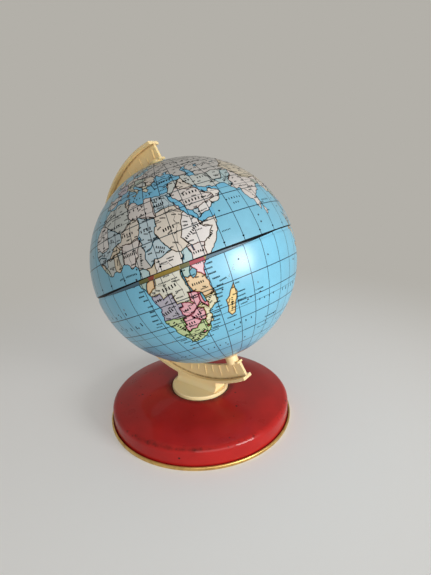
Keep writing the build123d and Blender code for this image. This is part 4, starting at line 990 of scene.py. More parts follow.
def seam_shapes():
    """Where the light reaches the neck under the rim, and where the paint begins."""
    turns = np.radians(np.arange(-180, 180, 2.0))
    away = np.degrees(np.abs((turns - math.radians(NECK_FRONT) + math.pi) % math.tau - math.pi))
    shade = np.clip(SHADE_FRONT + SHADE_GROWTH * (away - SHADE_FLAT), *SHADE_LIMITS)
    bare = np.clip(BARE_MIDDLE + BARE_SWING * np.cos(np.radians(away)), *BARE_LIMITS)
    shade = np.minimum(shade, bare + SHADE_OVER_PAINT)
    around = np.stack([np.cos(turns), np.sin(turns)], 1)
    lit, painted = (around * (SEAM_OUT - drop * DEGREES_PER_MM)[:, None] for drop in (shade, bare))
    made = [dict(kind="lit", outline=lit), dict(kind="painted", outline=painted)]
    for outline in ribbon(np.concatenate([painted, painted[:1]]), PAINT_LINE, 0):
        made.append(dict(kind="overprint", ink=COAST_INK, outline=outline))
    return made


def on_ball(places, sign, radius):
    """Places in metres, on a ball of a radius in millimetres, of flat places."""
    out = np.radians(np.linalg.norm(places, axis=1))
    turn = np.arctan2(places[:, 1], places[:, 0])
    up = np.outer(sign * np.cos(out), NORTH)
    around = np.outer(np.cos(turn), ACROSS) + np.outer(np.sin(turn), BESIDE)
    return np.array(BALL_MIDDLE) + (up + around * np.sin(out)[:, None]) * radius * MM


def flat_under(points, sign):
    """Flat places of points near the ball: what on_ball does, turned round."""
    off = (points - np.array(BALL_MIDDLE)) / MM
    rise = sign * off @ np.array(NORTH) / np.linalg.norm(off, axis=1)
    out = np.degrees(np.arccos(np.clip(rise, -1, 1)))
    turn = np.arctan2(off @ np.array(BESIDE), off @ np.array(ACROSS))
    return out[:, None] * np.stack([np.cos(turn), np.sin(turn)], 1)


def zipped(one, other):
    """Triangles between two rings of (turn, vertex) pairs, both in order of turn."""
    one, other = sorted(one), sorted(other)
    faces, i, j = [], 0, 0

    def turn(ring_of, k):
        return ring_of[k % len(ring_of)][0] + math.tau * (k // len(ring_of))

    while i < len(one) or j < len(other):
        here, there = one[i % len(one)][1], other[j % len(other)][1]
        if j >= len(other) or i < len(one) and turn(one, i + 1) <= turn(other, j + 1):
            faces.append((here, one[(i + 1) % len(one)][1], there))
            i += 1
        else:
            faces.append((here, other[(j + 1) % len(other)][1], there))
            j += 1
    return faces


def turned_rings(profile, first):
    """Places and quads of a profile of (reach, height) pairs turned about the ball's axis."""
    turns = np.arange(INSIDE_COLUMNS) * math.tau / INSIDE_COLUMNS - math.pi
    around = np.outer(np.cos(turns), ACROSS) + np.outer(np.sin(turns), BESIDE)
    middle, axis = np.array(BALL_MIDDLE), np.array(NORTH)
    places = [middle + (around * reach + axis * height) * MM for reach, height in profile]
    rows = [[first + row * INSIDE_COLUMNS + i for i in range(INSIDE_COLUMNS)] for row in range(len(profile))]
    quads = []
    for near, far in zip(rows, rows[1:]):
        quads += zip(near, near[1:] + near[:1], far[1:] + far[:1], far)
    rims = [list(zip(turns, row)) for row in (rows[0], rows[-1])]
    return np.concatenate(places), quads, rims


def inner_profile(half, sizes, hole):
    """Reach and height of the unprinted side, from the rim to the pole."""
    inside = BALL_RADIUS - sizes.sheet / MM
    profile = []
    start = 0
    if half.sign < 0:
        neck, lap = sizes.neck_radius / MM, sizes.seam_lap / MM
        thin = neck - sizes.sheet / MM
        under = sizes.seam_height / MM + sizes.sheet / MM
        start = math.asin(under / inside)
        rises = [lap * i / NECK_ROWS for i in range(1, NECK_ROWS + 1)]
        profile += [(math.sqrt(neck ** 2 - rise ** 2), rise) for rise in rises]
        profile += [(math.sqrt(thin ** 2 - rise ** 2), rise) for rise in (lap, 0, -under)]
    stop = math.pi / 2 - math.asin(hole / inside)
    for i in range(INSIDE_ROWS + 1):
        tip = start + (stop - start) * i / INSIDE_ROWS
        profile.append((inside * math.cos(tip), half.sign * inside * math.sin(tip)))
    return profile


def printed_sheet(half, sizes, hole_out):
    """Shapes of one half's print, and its flat sheet cut along them."""
    shapes = map_shapes(half, hole_out)
    places, triangles, under = cut_sheet(shapes, [])
    regions = [region_under(shapes, below) for below in under]
    shapes += border_shapes(half, places, triangles, regions)
    shapes += line_shapes(half) + name_shapes(half)
    if half.sign < 0:
        step_out = SEAM_OUT - math.degrees(math.asin(sizes.seam_height / MM / BALL_RADIUS))
        shapes.append(dict(kind="cap", outline=ring(step_out, RIM_STEP)))
        shapes += seam_shapes()
    outs = [out for out in np.arange(GRID_STEP, SEAM_OUT - 1, GRID_STEP) if out > hole_out]
    return shapes, *cut_sheet(shapes, np.concatenate([ring(out) for out in outs]))


def printed_half(half, sizes):
    """Mesh of one half: the print outside, the step at the seam, and the bare sheet inside."""
    hole = sizes.pole_hole / MM
    hole_out = math.degrees(math.asin(hole / BALL_RADIUS))
    shapes, places, triangles, under = printed_sheet(half, sizes, hole_out)

    # Each flat place stands for two points, one on the ball and one on the neck
    caps = {index for index, shape in enumerate(shapes) if shape["kind"] == "cap"}
    count = len(places)
    faces, colours, layer = [], [], {}
    for triangle, below in zip(triangles, under):
        if region_under(shapes, below) == "waste":
            continue
        on_neck = bool(caps) and not caps.intersection(below)
        corners = tuple(corner + count * on_neck for corner in triangle)
        faces.append(corners if half.sign > 0 else corners[::-1])
        colours.append(ink_of(half, shapes, below, on_neck))
        for a, b in zip(triangle, triangle[1:] + triangle[:1]):
            layer[a, b] = on_neck
    printed = len(faces)

    # The step at the seam, and the open edges at the rim and the pole
    rims = {True: set(), False: set()}
    for (a, b), on_neck in layer.items():
        across = layer.get((b, a))
        if across is None:
            rims[np.linalg.norm(places[a]) > SEAM_OUT / 2] |= {a + count * on_neck, b + count * on_neck}
        elif across and not on_neck:
            faces.append((a, b, b + count, a + count))
    inner, quads, ends = turned_rings(inner_profile(half, sizes, hole), 2 * count)
    turn = np.arctan2(places[:, 1], places[:, 0])
    rim, pole = (zipped([(turn[v % count], v) for v in rims[far]], end)
                 for far, end in zip((True, False), ends))
    if half.sign > 0:
        # The cut edge of the rim is painted with the shade colour, as it lies in shadow
        colours += [PAINTED_SEAM_SHADE] * len(rim)
        printed += len(rim)
    faces += rim + pole + quads
    ball, neck = (on_ball(places, half.sign, radius) for radius in (BALL_RADIUS, sizes.neck_radius / MM))
    points = np.concatenate([ball, neck, inner])
    spread = np.concatenate([places, places, flat_under(inner, half.sign)])

    used = np.unique([corner for face in faces for corner in face])
    renumber = np.zeros(len(points), int)
    renumber[used] = np.arange(len(used))
    mesh = bpy.data.meshes.new(half.name + "_print")
    mesh.from_pydata(points[used].tolist(), [], [[int(renumber[c]) for c in face] for face in faces])
    finish_print(mesh, points[used], spread[used], printed, colours)
    return mesh


def finish_print(mesh, points, spread, printed, colours):
    """Colours, bake map and exact round normals on a printed half."""
    corner_vertex = np.zeros(len(mesh.loops), int)
    mesh.loops.foreach_get("vertex_index", corner_vertex)
    outside = 3 * printed
    inks = np.ones((len(mesh.loops), 4), np.float32)
    inks[:outside, :3] = np.repeat(np.array(colours), 3, axis=0)
    mesh.color_attributes.new("print_ink", "FLOAT_COLOR", "CORNER").data.foreach_set("color", inks.ravel())
    flat = spread[corner_vertex] / SEAM_OUT
    (print_at, print_width), (inside_at, inside_width) = PRINT_PATCH, INSIDE_PATCH
    where = np.where((np.arange(len(flat)) < outside)[:, None],
                     print_at + print_width * flat, inside_at + inside_width * flat)
    mesh.uv_layers.new(name="OFBake").data.foreach_set("uv", where.ravel().astype(np.float32))
    slots = np.zeros(len(mesh.polygons), np.int32)
    slots[printed:] = 1
    mesh.polygons.foreach_set("material_index", slots)
    mesh.polygons.foreach_set("use_smooth", np.ones(len(mesh.polygons), bool))
    mesh.set_sharp_from_angle(angle=SHARP_ANGLE)
    mesh.update()
    round_normals = (points - np.array(BALL_MIDDLE))[corner_vertex]
    round_normals /= np.linalg.norm(round_normals, axis=1)[:, None]
    normals = np.zeros((len(mesh.loops), 3), np.float32)
    mesh.corner_normals.foreach_get("vector", normals.ravel())
    for polygon in mesh.polygons:
        if polygon.index >= printed:
            facing = np.array(polygon.normal)
            for corner in polygon.loop_indices:
                # A face that looks well away from the ball's middle is an edge of the sheet, and flat
                along = facing @ round_normals[corner]
                normals[corner] = facing if abs(along) < 0.7 else round_normals[corner] * np.sign(along)
    normals[:outside] = round_normals[:outside]
    mesh.normals_split_custom_set(normals.tolist())


def filleted(corners, radii):
    """Points of a flat line whose inner corners are rounded by the radii."""
    line = [Vector(corners[0])]
    for before, corner, after, radius in zip(corners, corners[1:], corners[2:], radii):
        corner = Vector(corner)
        back, onward = (Vector(before) - corner).normalized(), (Vector(after) - corner).normalized()
        half_angle = back.angle(onward) / 2
        middle = corner + (back + onward).normalized() * radius / math.sin(half_angle)
        start = corner + back * radius / math.tan(half_angle) - middle
        stop = corner + onward * radius / math.tan(half_angle) - middle
        sweep = -start.angle_signed(stop) / FILLET_STEPS
        line += [middle + Matrix.Rotation(sweep * i, 2) @ start for i in range(FILLET_STEPS + 1)]
    return line + [Vector(corners[-1])]


def offset_left(line, distance):
    """The same flat line moved to its left."""
    moved = []
    for i, point in enumerate(line):
        run = (line[min(i + 1, len(line) - 1)] - line[max(i - 1, 0)]).normalized()
        moved.append(point + Vector((-run.y, run.x)) * distance)
    return moved


def pan_mesh(sizes):
    """Pressed pan: one sheet turned about the upright axis, lacquered red above and gold below."""
    corners = [
        (sizes.pan_hole, sizes.pan_top),
        (sizes.recess, sizes.pan_top),
        (sizes.recess + RECESS_RUN * MM, sizes.pan_top + RECESS_RISE * MM),
        (sizes.pan_crease, sizes.pan_shoulder_top),
        (sizes.pan_skirt, sizes.pan_shoulder),
        (sizes.pan_skirt, 0),
        (sizes.pan_rim, 0),
        (sizes.pan_rim, sizes.hem),
        (sizes.pan_rim - HEM_LIP * MM, sizes.hem),
    ]
    below = filleted(corners, [radius * MM for radius in PAN_FILLETS])
    above = offset_left(below, sizes.sheet)
    profile = below + above[::-1]
    points = []
    for column in range(PAN_COLUMNS):
        turn = math.tau * column / PAN_COLUMNS
        points += [(reach * math.cos(turn), reach * math.sin(turn), height) for reach, height in profile]
    size = len(profile)
    faces, slots = [], []
    for column in range(PAN_COLUMNS):
        here, there = column * size, (column + 1) % PAN_COLUMNS * size
        for row in range(size):
            following = (row + 1) % size
            faces.append((here + row, here + following, there + following, there + row))
            slots.append(1 if row < len(below) else 0)
    mesh = bpy.data.meshes.new("base_pan_lacquered")
    mesh.from_pydata(points, [], faces)
    mesh.polygons.foreach_set("material_index", slots)
    mesh.polygons.foreach_set("use_smooth", [True] * len(faces))
    mesh.set_sharp_from_angle(angle=SHARP_ANGLE)
    mesh.update()
    return mesh


# Materials

COLOUR_MIX = {"data_type": "RGBA"}
COLOUR_PRODUCT = {"data_type": "RGBA", "blend_type": "MULTIPLY"}


def span(start, stop, low=0.0, high=1.0):
    """Input values of a map range that turns start to stop into low to high."""
    return {1: start, 2: stop, 3: low, 4: high}


def per_metre(size):
    """Scale of a pattern whose patches are so many millimetres across."""
    return 1 / (size * MM)


def add_node(tree, kind, settings=None, inputs=None, **links):
    """A shader node with its settings and input values, its inputs linked from other nodes' sockets."""
    node = tree.nodes.new("ShaderNode" + kind)
    for key, value in (settings or {}).items():
        setattr(node, key, value)
    for key, value in (inputs or {}).items():
        node.inputs[key].default_value = value
    for key, socket in links.items():
        tree.links.new(socket, node.inputs[int(key[1:]) if key[1:].isdigit() else key])
    return node


def new_material(name, **values):
    """A material with one Principled shader, its input values set; returns both and the tree."""
    material = bpy.data.materials.new(name)
    material.use_nodes = True
    shader = material.node_tree.nodes["Principled BSDF"]
    for key, value in values.items():
        shader.inputs[key.replace("_", " ")].default_value = value
    return material, shader, material.node_tree


def colour_of(prop):
    """A colour property as the four numbers that a shader takes."""
    return (*prop, 1)


def printed_tin():
    """Lithographed tin: flat inks under a clear varnish that mirrors the window as a soft patch."""
    material, shader, tree = new_material("lithographed_tin", Coat_Roughness=0.25)
    ink = add_node(tree, "Attribute", {"attribute_name": "print_ink"}).outputs["Color"]
    place = add_node(tree, "TexCoord").outputs["Object"]
    # Old varnish has yellowed and dulled in clouds about two centimetres across
    cloud = add_node(tree, "TexNoise", inputs={"Scale": per_metre(22.22), "Detail": 4, "Roughness": 0.6},
                     Vector=place).outputs[0]
    fade = add_node(tree, "MapRange", inputs=span(0.35, 0.7, 0.9, 1.03), _0=cloud).outputs[0]
    aged = add_node(tree, "Mix", COLOUR_PRODUCT, {0: 1.0}, _6=ink, _7=fade).outputs[2]
    # The dot screen of the print and fine dust, about a third of a millimetre
    grain = add_node(tree, "TexNoise", inputs={"Scale": per_metre(0.3846), "Detail": 1},
                     Vector=place).outputs[0]
    tooth = add_node(tree, "MapRange", inputs=span(0.3, 0.7, 0.95, 1.05), _0=grain).outputs[0]
    screened = add_node(tree, "Mix", COLOUR_PRODUCT, {0: 1.0}, _6=aged, _7=tooth).outputs[2]
    tree.links.new(screened, shader.inputs["Base Color"])
    gloss = add_node(tree, "MapRange", inputs=span(0.3, 0.7, 0.28, 0.42), _0=cloud).outputs[0]
    tree.links.new(gloss, shader.inputs["Roughness"])
    # The painted shade under the rim and the black ink lie dull
    depth = add_node(tree, "RGBToBW", _0=ink).outputs[0]
    for socket, most in (("Specular IOR Level", 0.6), ("Coat Weight", 0.4)):
        shine = add_node(tree, "MapRange", inputs=span(0.008, 0.05, 0.03, most), _0=depth).outputs[0]
        tree.links.new(shine, shader.inputs[socket])
    return material


def red_lacquer(colours, sizes):
    """Red baked lacquer over tin: deep and glossy, dulled by handling, chipped to dark tin in specks."""
    material, shader, tree = new_material("red_lacquered_tin", Specular_IOR_Level=0.1, Coat_Weight=0.3,
                                          Coat_Roughness=0.05)
    place = add_node(tree, "TexCoord").outputs["Object"]
    level = add_node(tree, "VectorMath", {"operation": "MULTIPLY"}, {1: (1, 1, 0)}, _0=place).outputs[0]
    reach = add_node(tree, "VectorMath", {"operation": "LENGTH"}, _0=level).outputs["Value"]
    height = add_node(tree, "SeparateXYZ", _0=place).outputs["Z"]

    # Fading in clouds of nearly two centimetres, and patches of five millimetres for shade, dirt and wear
    cloud = add_node(tree, "TexNoise", inputs={"Scale": per_metre(16.67), "Detail": 4},
                     Vector=place).outputs[0]
    patch = add_node(tree, "TexNoise", inputs={"Scale": per_metre(4.762), "Detail": 3, "Roughness": 0.65},
                     Vector=place).outputs[0]
    shade = add_node(tree, "MapRange", inputs=span(0.3, 0.7, 0.86, 1.08), _0=cloud).outputs[0]
    tones = {0: 1.0, 6: colour_of(colours.lacquer)}
    colour = add_node(tree, "Mix", COLOUR_PRODUCT, tones, _7=shade).outputs[2]

    def worn(code, one, other):
        """Another colour laid over the one so far, where two masks allow."""
        both = add_node(tree, "Math", {"operation": "MULTIPLY"}, _0=one, _1=other).outputs[0]
        over = {7: colour_of(linear(code))}
        return add_node(tree, "Mix", COLOUR_MIX, over, _0=both, _6=colour).outputs[2]

    # Darker in the sunk middle round the foot: painted shade of the recess and the foot, with dirt
    sunk = span(sizes.recess - 0.8 * MM, sizes.recess + 5.5 * MM, 0.95, 0)
    recess_shade_and_dirt = add_node(tree, "MapRange", inputs=sunk, _0=reach).outputs[0]
    ragged = add_node(tree, "MapRange", inputs=span(0.3, 0.6, 0.55, 1), _0=patch).outputs[0]
    colour = worn("#34100c", recess_shade_and_dirt, ragged)
    # The shoulder is rubbed dull brown in patches
    from_shoulder = {1: sizes.pan_shoulder - 0.3 * MM}
    off_shoulder = add_node(tree, "Math", {"operation": "SUBTRACT"}, from_shoulder, _0=height).outputs[0]
    distance = add_node(tree, "Math", {"operation": "ABSOLUTE"}, _0=off_shoulder).outputs[0]
    rubbed = add_node(tree, "MapRange", inputs=span(0.4 * MM, 1.8 * MM, 0.9, 0), _0=distance).outputs[0]
    patchy = add_node(tree, "MapRange", inputs=span(0.55, 0.64), _0=patch).outputs[0]
    colour = worn("#6b1a14", rubbed, patchy)
    # Along one stretch in front it is rubbed more than elsewhere
    outward = add_node(tree, "VectorMath", {"operation": "NORMALIZE"}, _0=level).outputs[0]
    facing = add_node(tree, "VectorMath", {"operation": "DOT_PRODUCT"}, {1: (0.34, -0.94, 0)}, _0=outward)
    stretch = add_node(tree, "MapRange", inputs=span(0.87, 0.97), _0=facing.outputs["Value"]).outputs[0]
    broken = add_node(tree, "MapRange", inputs=span(0.36, 0.6, 0.3, 1), _0=patch).outputs[0]
    brown = add_node(tree, "MapRange", inputs=span(0.1 * MM, 1.6 * MM, 0.8, 0), _0=distance).outputs[0]
    there = add_node(tree, "Math", {"operation": "MULTIPLY"}, _0=stretch, _1=broken).outputs[0]
    colour = worn("#5e1611", brown, there)
    # Specks in some of the cells of two sizes: cell in millimetres, how rare, and the speck's share of it
    for cell, rare, share in ((10.526, 0.84, 0.085), (4.1667, 0.93, 0.13)):
        cells = add_node(tree, "TexVoronoi", inputs={"Scale": per_metre(cell)}, Vector=place)
        chance = add_node(tree, "SeparateColor", _0=cells.outputs["Color"]).outputs[0]
        chosen = add_node(tree, "Math", {"operation": "GREATER_THAN"}, {1: rare}, _0=chance).outputs[0]
        speck = add_node(tree, "MapRange", inputs=span(share * 0.7, share, 1, 0),
                         _0=cells.outputs["Distance"]).outputs[0]
        colour = worn("#2a1512", chosen, speck)
    tree.links.new(colour, shader.inputs["Base Color"])
    gloss = add_node(tree, "MapRange", inputs=span(0.3, 0.7, 0.26, 0.4), _0=cloud).outputs[0]
    tree.links.new(gloss, shader.inputs["Roughness"])
    # Faint waves left by pressing the sheet
    bump = add_node(tree, "Bump", inputs={"Strength": 0.12, "Distance": 0.5 * MM}, Height=cloud).outputs[0]
    tree.links.new(bump, shader.inputs["Normal"])
    return material


def gold_lacquer(colours):
    """Gold lacquer over bright tin: a warm yellow metal, patchy where it has dulled."""
    material, shader, tree = new_material("gold_lacquered_tin", Metallic=1.0, Roughness=0.36)
    place = add_node(tree, "TexCoord").outputs["Object"]
    # Dull patches about five millimetres across
    cloud = add_node(tree, "TexNoise", inputs={"Scale": per_metre(4.545), "Detail": 3},
                     Vector=place).outputs[0]
    dull = add_node(tree, "MapRange", inputs=span(0.45, 0.75, 0.0, 0.5), _0=cloud).outputs[0]
    tones = {6: colour_of(colours.gold), 7: colour_of(linear("#7a5526"))}
    gold = add_node(tree, "Mix", COLOUR_MIX, tones, _0=dull).outputs[2]
    tree.links.new(gold, shader.inputs["Base Color"])
    return material


def ivory_plastic(node, colours, sizes):
    """Ivory polystyrene: a yellowed, slightly translucent moulding, softly glossy; its colour up high is
    partly painted light, and its groove has painted shade with some grime.
    """
    material, shader, tree = new_material("ivory_polystyrene", Subsurface_Weight=0.15,
                                          Subsurface_Scale=2 * MM, Subsurface_Radius=(1.0, 0.7, 0.4))
    place = add_node(tree, "TexCoord").outputs["Object"]
    # Clouds of fifteen millimetres for yellowing, and flow marks of two
    cloud = add_node(tree, "TexNoise", inputs={"Scale": per_metre(14.286), "Detail": 5},
                     Vector=place).outputs[0]
    fine = add_node(tree, "TexNoise", inputs={"Scale": per_metre(1.923), "Detail": 3},
                    Vector=place).outputs[0]
    middle = node.matrix_world.inverted() @ (BALL_MIDDLE - Vector((sizes.arm_back, 0, sizes.arm_drop)))
    off = add_node(tree, "VectorMath", {"operation": "SUBTRACT"}, {1: middle}, _0=place).outputs[0]
    axes = add_node(tree, "SeparateXYZ", _0=off).outputs
    # Yellower high up, where the light falls and the plastic has yellowed; the yellow is also light in tone
    # as painted light, for the light thrown back onto the upper arm and through the plastic
    high = add_node(tree, "MapRange", inputs=span(-85 * MM, 20 * MM, 0.1, 0.6), _0=axes["Z"]).outputs[0]
    cloudy = add_node(tree, "MapRange", inputs=span(0.3, 0.7, 0.4, 1.4), _0=cloud).outputs[0]
    yellowing_and_light = add_node(tree, "Math", {"operation": "MULTIPLY"}, _0=high, _1=cloudy).outputs[0]
    tones = {6: colour_of(colours.ivory), 7: colour_of(linear("#fbda9c"))}
    ivory = add_node(tree, "Mix", COLOUR_MIX, tones, _0=yellowing_and_light).outputs[2]
    # Brown darkening in the corner between the web and the flange: painted shade of the corner, with some
    # grime
    flat = add_node(tree, "VectorMath", {"operation": "MULTIPLY"}, {1: (1, 0, 1)}, _0=off).outputs[0]
    reach = add_node(tree, "VectorMath", {"operation": "LENGTH"}, _0=flat).outputs["Value"]
    off_flange = add_node(tree, "Math", {"operation": "SUBTRACT"}, {1: sizes.flange}, _0=reach).outputs[0]
    aside = add_node(tree, "Math", {"operation": "ABSOLUTE"}, _0=axes["Y"]).outputs[0]
    off_web = add_node(tree, "Math", {"operation": "SUBTRACT"}, {1: sizes.web}, _0=aside).outputs[0]
    off_corner = add_node(tree, "CombineXYZ", _0=off_flange, _1=off_web).outputs[0]
    distance = add_node(tree, "VectorMath", {"operation": "LENGTH"}, _0=off_corner).outputs["Value"]
    near = add_node(tree, "MapRange", inputs=span(0.2 * MM, 1.4 * MM, 0.7, 0), _0=distance).outputs[0]
    ragged = add_node(tree, "MapRange", inputs=span(0.35, 0.6, 0.5, 1), _0=fine).outputs[0]
    corner_shade_and_grime = add_node(tree, "Math", {"operation": "MULTIPLY"}, _0=near, _1=ragged).outputs[0]
    brown = {7: colour_of(linear("#8a5826"))}
    corner_shaded = add_node(tree, "Mix", COLOUR_MIX, brown, _0=corner_shade_and_grime, _6=ivory).outputs[2]
    tree.links.new(corner_shaded, shader.inputs["Base Color"])
    gloss = add_node(tree, "MapRange", inputs=span(0.3, 0.7, 0.3, 0.46), _0=cloud).outputs[0]
    tree.links.new(gloss, shader.inputs["Roughness"])
    bump = add_node(tree, "Bump", inputs={"Strength": 0.15, "Distance": 0.3 * MM}, Height=fine).outputs[0]
    tree.links.new(bump, shader.inputs["Normal"])
    return material


def plain_metal(name, code, roughness):
    """A plain metal: its tint comes from the reflection alone, darker and duller where it is stained."""
    material, shader, tree = new_material(name, Metallic=1.0)
    place = add_node(tree, "TexCoord").outputs["Object"]
    # Stains about a centimetre across, with ragged edges
    cloud = add_node(tree, "TexNoise", inputs={"Scale": per_metre(9.091), "Detail": 5},
                     Vector=place).outputs[0]
    stain = add_node(tree, "MapRange", inputs=span(0.45, 0.75), _0=cloud).outputs[0]
    clean = linear(code)
    tones = {6: colour_of(clean), 7: colour_of([part * 0.5 for part in clean])}
    tone = add_node(tree, "Mix", COLOUR_MIX, tones, _0=stain).outputs[2]
    tree.links.new(tone, shader.inputs["Base Color"])
    dulled = span(0.3, 0.7, roughness - 0.08, roughness + 0.12)
    gloss = add_node(tree, "MapRange", inputs=dulled, _0=cloud).outputs[0]
    tree.links.new(gloss, shader.inputs["Roughness"])
    return material


# Settings, operators and panel

def length_setting(name, description, default):
    """A length in metres that a user can change."""
    return FloatProperty(name=name, description=description, default=default, unit="LENGTH")


def colour_setting(name, description, code):
    """A colour that a user can change, from its hex value."""
    return FloatVectorProperty(name=name, description=description, default=linear(code), subtype="COLOR")


class GlobeSizes(bpy.types.PropertyGroup):
    """Lengths of the dressed pieces, taken over from the frame's construction."""

    sheet: length_setting("Tin", "Thickness of the tin sheet", 0.0005)
    seam_height: length_setting("Seam", "Height of the neck that shows at the equator", 0.0028)
    seam_lap: length_setting("Lap", "Neck hidden in the north half", 0.006)
    neck_radius: length_setting("Neck", "Outside radius of the neck", 0.07545)
    pole_hole: length_setting("Pole hole", "Radius of the hole at each pole", 0.00305)
    pan_hole: length_setting("Pan hole", "Radius of the hole in the pan", 0.00608)
    recess: length_setting("Recess", "Radius of the pan's sunk middle", 0.0239)
    pan_top: length_setting("Pan floor", "Underside height of the sunk middle", 0.021)
    pan_crease: length_setting("Crease", "Radius where the top breaks", 0.056)
    pan_shoulder_top: length_setting("Crease height", "Underside height of that break", 0.0197)
    pan_shoulder: length_setting("Shoulder", "Underside height of the shoulder", 0.0153)
    pan_skirt: length_setting("Skirt", "Inner radius of the skirt", 0.0718)
    pan_rim: length_setting("Rim", "Outer radius of the turned-up hem", 0.0744)
    hem: length_setting("Hem", "Height of the turned-up hem", 0.003)
    arm_back: length_setting("Arm back", "Arm's middle behind the ball's", 0.0035)
    arm_drop: length_setting("Arm drop", "Arm's middle below the ball's", 0.0035)
    flange: length_setting("Flange", "Inner radius of the arm's flange", 0.0935)
    web: length_setting("Web", "Half the thickness of the arm's web", 0.0012)


class GlobeColours(bpy.types.PropertyGroup):
    """Colours of the unprinted pieces."""

    lacquer: colour_setting("Lacquer", "Red of the pan", "#b3221f")
    gold: colour_setting("Hem", "Gold of the pan's underside", "#dcb870")
    ivory: colour_setting("Ivory", "Colour of the arm", "#fbe2ac")
    floor: colour_setting("Floor", "Colour of the floor", "#cbcac7")
    wall: colour_setting("Wall", "Colour behind the object", "#b3b0a9")


def add_piece(mesh, name, body, slot, *nodes):
    """Puts a mesh in the scene in place of its nodes, moving with a body."""
    piece = bpy.data.objects.new(name, mesh)
    bpy.context.scene.collection.objects.link(piece)
    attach(piece, body)
    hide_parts(*nodes)
    return piece


def dress(node, material):
    """Gives a node of the frame one material."""
    node.data.materials.clear()
    node.data.materials.append(material)


class GLOBE_OT_pan(bpy.types.Operator):
    """Lathes the lacquered pan"""

    bl_idname = "globe.pan"
    bl_label = "Pan"

    def execute(self, context):
        mesh = pan_mesh(context.scene.globe_sizes)
        mesh.materials.append(red_lacquer(context.scene.globe_colours, context.scene.globe_sizes))
        mesh.materials.append(gold_lacquer(context.scene.globe_colours))
        add_piece(mesh, "lacquered_pan", "base", "red_lacquered_tin", "base_pan")
        return {"FINISHED"}


class GLOBE_OT_arm(bpy.types.Operator):
    """Gives the moulded arm its ivory plastic"""

    bl_idname = "globe.arm"
    bl_label = "Arm"

    def execute(self, context):
        arm = frame["nodes"]["meridian_arm"]
        dress(arm, ivory_plastic(arm, context.scene.globe_colours, context.scene.globe_sizes))
        return {"FINISHED"}


class GLOBE_OT_fittings(bpy.types.Operator):
    """Gives the screw, rod, washers and eyelets their metals"""

    bl_idname = "globe.fittings"
    bl_label = "Fittings"

    def execute(self, context):
        zinc = plain_metal("zinc_plated_steel", "#c4c6c8", 0.34)
        for name in ("foot_washer", "foot_screw", "north_washer", "south_washer"):
            dress(frame["nodes"][name], zinc)
        dress(frame["nodes"]["axle_rod"], plain_metal("drawn_steel", "#aeb0b2", 0.3))
        brass = plain_metal("brass", "#d8b056", 0.3)
        for name in ("north_eyelet", "south_eyelet"):
            dress(frame["nodes"][name], brass)
        return {"FINISHED"}


class GLOBE_OT_print(bpy.types.Operator):
    """Cuts and colours the two printed halves"""

    bl_idname = "globe.print"
    bl_label = "Printed halves"

    def execute(self, context):
        sizes = context.scene.globe_sizes
        outside, inside = printed_tin(), plain_metal("tinplate", "#b9b6ae", 0.4)
        for half in HALVES:
            mesh = printed_half(half, sizes)
            mesh.materials.append(outside)
            mesh.materials.append(inside)
            add_piece(mesh, half.name + "_print", "globe", "lithographed_tin", half.name)
        return {"FINISHED"}


class GLOBE_OT_stage(bpy.types.Operator):
    """Sets the floor, light and camera"""

    bl_idname = "globe.stage"
    bl_label = "Stage"

    def execute(self, context):
        colours = context.scene.globe_colours
        floor = bpy.data.meshes.new("floor")
        turns = [math.tau * i / FLOOR_CORNERS for i in range(FLOOR_CORNERS)]
        edge = [(FLOOR_RADIUS * math.cos(turn), FLOOR_RADIUS * math.sin(turn), 0) for turn in turns]
        floor.from_pydata(edge, [], [list(range(FLOOR_CORNERS))])
        floor.materials.append(floor_paper(colours))
        board = bpy.data.objects.new("floor", floor)
        context.scene.collection.objects.link(board)
        light_room(context.scene, colours)
        place_camera(context.scene)
        return {"FINISHED"}


def seen_by_eye(tree):
    """One on the rays that show a surface to the eye: straight, mirrored or through something clear."""
    path = add_node(tree, "LightPath").outputs
    larger = {"operation": "MAXIMUM"}
    bent = add_node(tree, "Math", larger, _0=path["Is Glossy Ray"], _1=path["Is Transmission Ray"])
    return add_node(tree, "Math", larger, _0=path["Is Camera Ray"], _1=bent.outputs[0]).outputs[0]


def floor_paper(colours):
    """Pale matt floor that glows a little to the eye and runs into the colour behind the object."""
    material, shader, tree = new_material("pale_matt_floor", Roughness=0.8)
    place = add_node(tree, "TexCoord").outputs["Object"]
    reach = add_node(tree, "VectorMath", {"operation": "LENGTH"}, _0=place).outputs["Value"]
    smooth = {"interpolation_type": "SMOOTHSTEP"}
    far = add_node(tree, "MapRange", smooth, span(*FLOOR_FADE), _0=reach).outputs[0]
    seen = seen_by_eye(tree)
    tones = {6: colour_of(colours.floor), 7: colour_of(linear("#f7f6f3"))}
    pale = add_node(tree, "Mix", COLOUR_MIX, tones, _0=seen).outputs[2]
    tree.links.new(pale, shader.inputs["Base Color"])
    lift = add_node(tree, "Math", {"operation": "MULTIPLY"}, {1: FLOOR_GLOW_SHARE}, _0=seen).outputs[0]
    glow = add_node(tree, "Emission", inputs={0: colour_of(colours.floor), 1: FLOOR_GLOW}).outputs[0]
    near = add_node(tree, "MixShader", _0=lift, _1=shader.outputs[0], _2=glow).outputs[0]
    share = add_node(tree, "Math", {"operation": "MULTIPLY"}, _0=far, _1=seen).outputs[0]
    wall = add_node(tree, "Emission", inputs={0: colour_of(colours.wall)}).outputs[0]
    mix = add_node(tree, "MixShader", _0=share, _1=near, _2=wall).outputs[0]
    tree.links.new(mix, tree.nodes["Material Output"].inputs["Surface"])
    return material


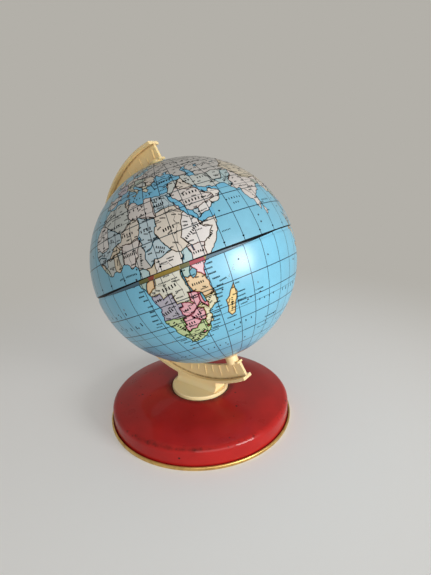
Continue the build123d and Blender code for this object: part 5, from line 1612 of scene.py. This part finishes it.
def light_room(scene, colours):
    """A window to the right, a broad pale light behind the viewer, and even light all round."""
    scene.view_settings.view_transform = "Standard"
    scene.world = bpy.data.worlds.new("pale_room")
    scene.world.use_nodes = True
    tree = scene.world.node_tree
    room = tree.nodes["Background"]
    room.inputs["Color"].default_value = ROOM_COLOUR
    room.inputs["Strength"].default_value = ROOM_STRENGTH
    wall = add_node(tree, "Background", inputs={0: colour_of(colours.wall)}).outputs[0]
    mix = add_node(tree, "MixShader", _0=seen_by_eye(tree), _1=room.outputs[0], _2=wall).outputs[0]
    tree.links.new(mix, tree.nodes["World Output"].inputs["Surface"])
    for name, (direction, distance, size, power) in WINDOWS.items():
        add_window(scene, name, Vector(direction), distance, size, power)


def add_window(scene, name, direction, distance, size, power):
    """A soft oblong light that faces the ball."""
    lamp = bpy.data.lights.new(name, "AREA")
    lamp.shape = "RECTANGLE"
    lamp.size, lamp.size_y = size
    lamp.energy = power
    window = bpy.data.objects.new(name, lamp)
    window.location = BALL_MIDDLE + direction.normalized() * distance
    window.rotation_euler = direction.to_track_quat("Z", "Y").to_euler()
    window.visible_camera = False
    scene.collection.objects.link(window)


def place_camera(scene):
    """The photograph's place, aim, lens and slight tilt."""
    lens = bpy.data.cameras.new("camera")
    lens.lens = LENS
    lens.clip_start = NEAR_CLIP
    camera = bpy.data.objects.new("camera", lens)
    turn = (EYE - AIM).to_track_quat("Z", "Y").to_matrix().to_4x4()
    camera.matrix_world = Matrix.Translation(EYE) @ turn @ Matrix.Rotation(math.radians(TILT), 4, "Z")
    scene.collection.objects.link(camera)
    scene.camera = camera


class GLOBE_PT_panel(bpy.types.Panel):
    """Sizes, colours and the steps that dress the globe"""

    bl_idname = "GLOBE_PT_panel"
    bl_label = "Desktop globe"
    bl_space_type = "VIEW_3D"
    bl_region_type = "UI"
    bl_category = "Globe"

    def draw(self, context):
        for group in (context.scene.globe_sizes, context.scene.globe_colours):
            for name in group.bl_rna.properties.keys():
                if name not in ("rna_type", "name"):
                    self.layout.prop(group, name)
        for step in STEPS:
            self.layout.operator(step.bl_idname)


STEPS = (GLOBE_OT_pan, GLOBE_OT_arm, GLOBE_OT_fittings, GLOBE_OT_print, GLOBE_OT_stage)
CLASSES = (GlobeSizes, GlobeColours, *STEPS, GLOBE_PT_panel)


def register():
    for cls in CLASSES:
        bpy.utils.register_class(cls)
    bpy.types.Scene.globe_sizes = PointerProperty(type=GlobeSizes)
    bpy.types.Scene.globe_colours = PointerProperty(type=GlobeColours)


def unregister():
    del bpy.types.Scene.globe_colours
    del bpy.types.Scene.globe_sizes
    for cls in reversed(CLASSES):
        bpy.utils.unregister_class(cls)


def main():
    """Dresses the whole globe."""
    register()
    for step in STEPS:
        group, name = step.bl_idname.split(".")
        getattr(getattr(bpy.ops, group), name)()


if __name__ == "__main__":
    main()
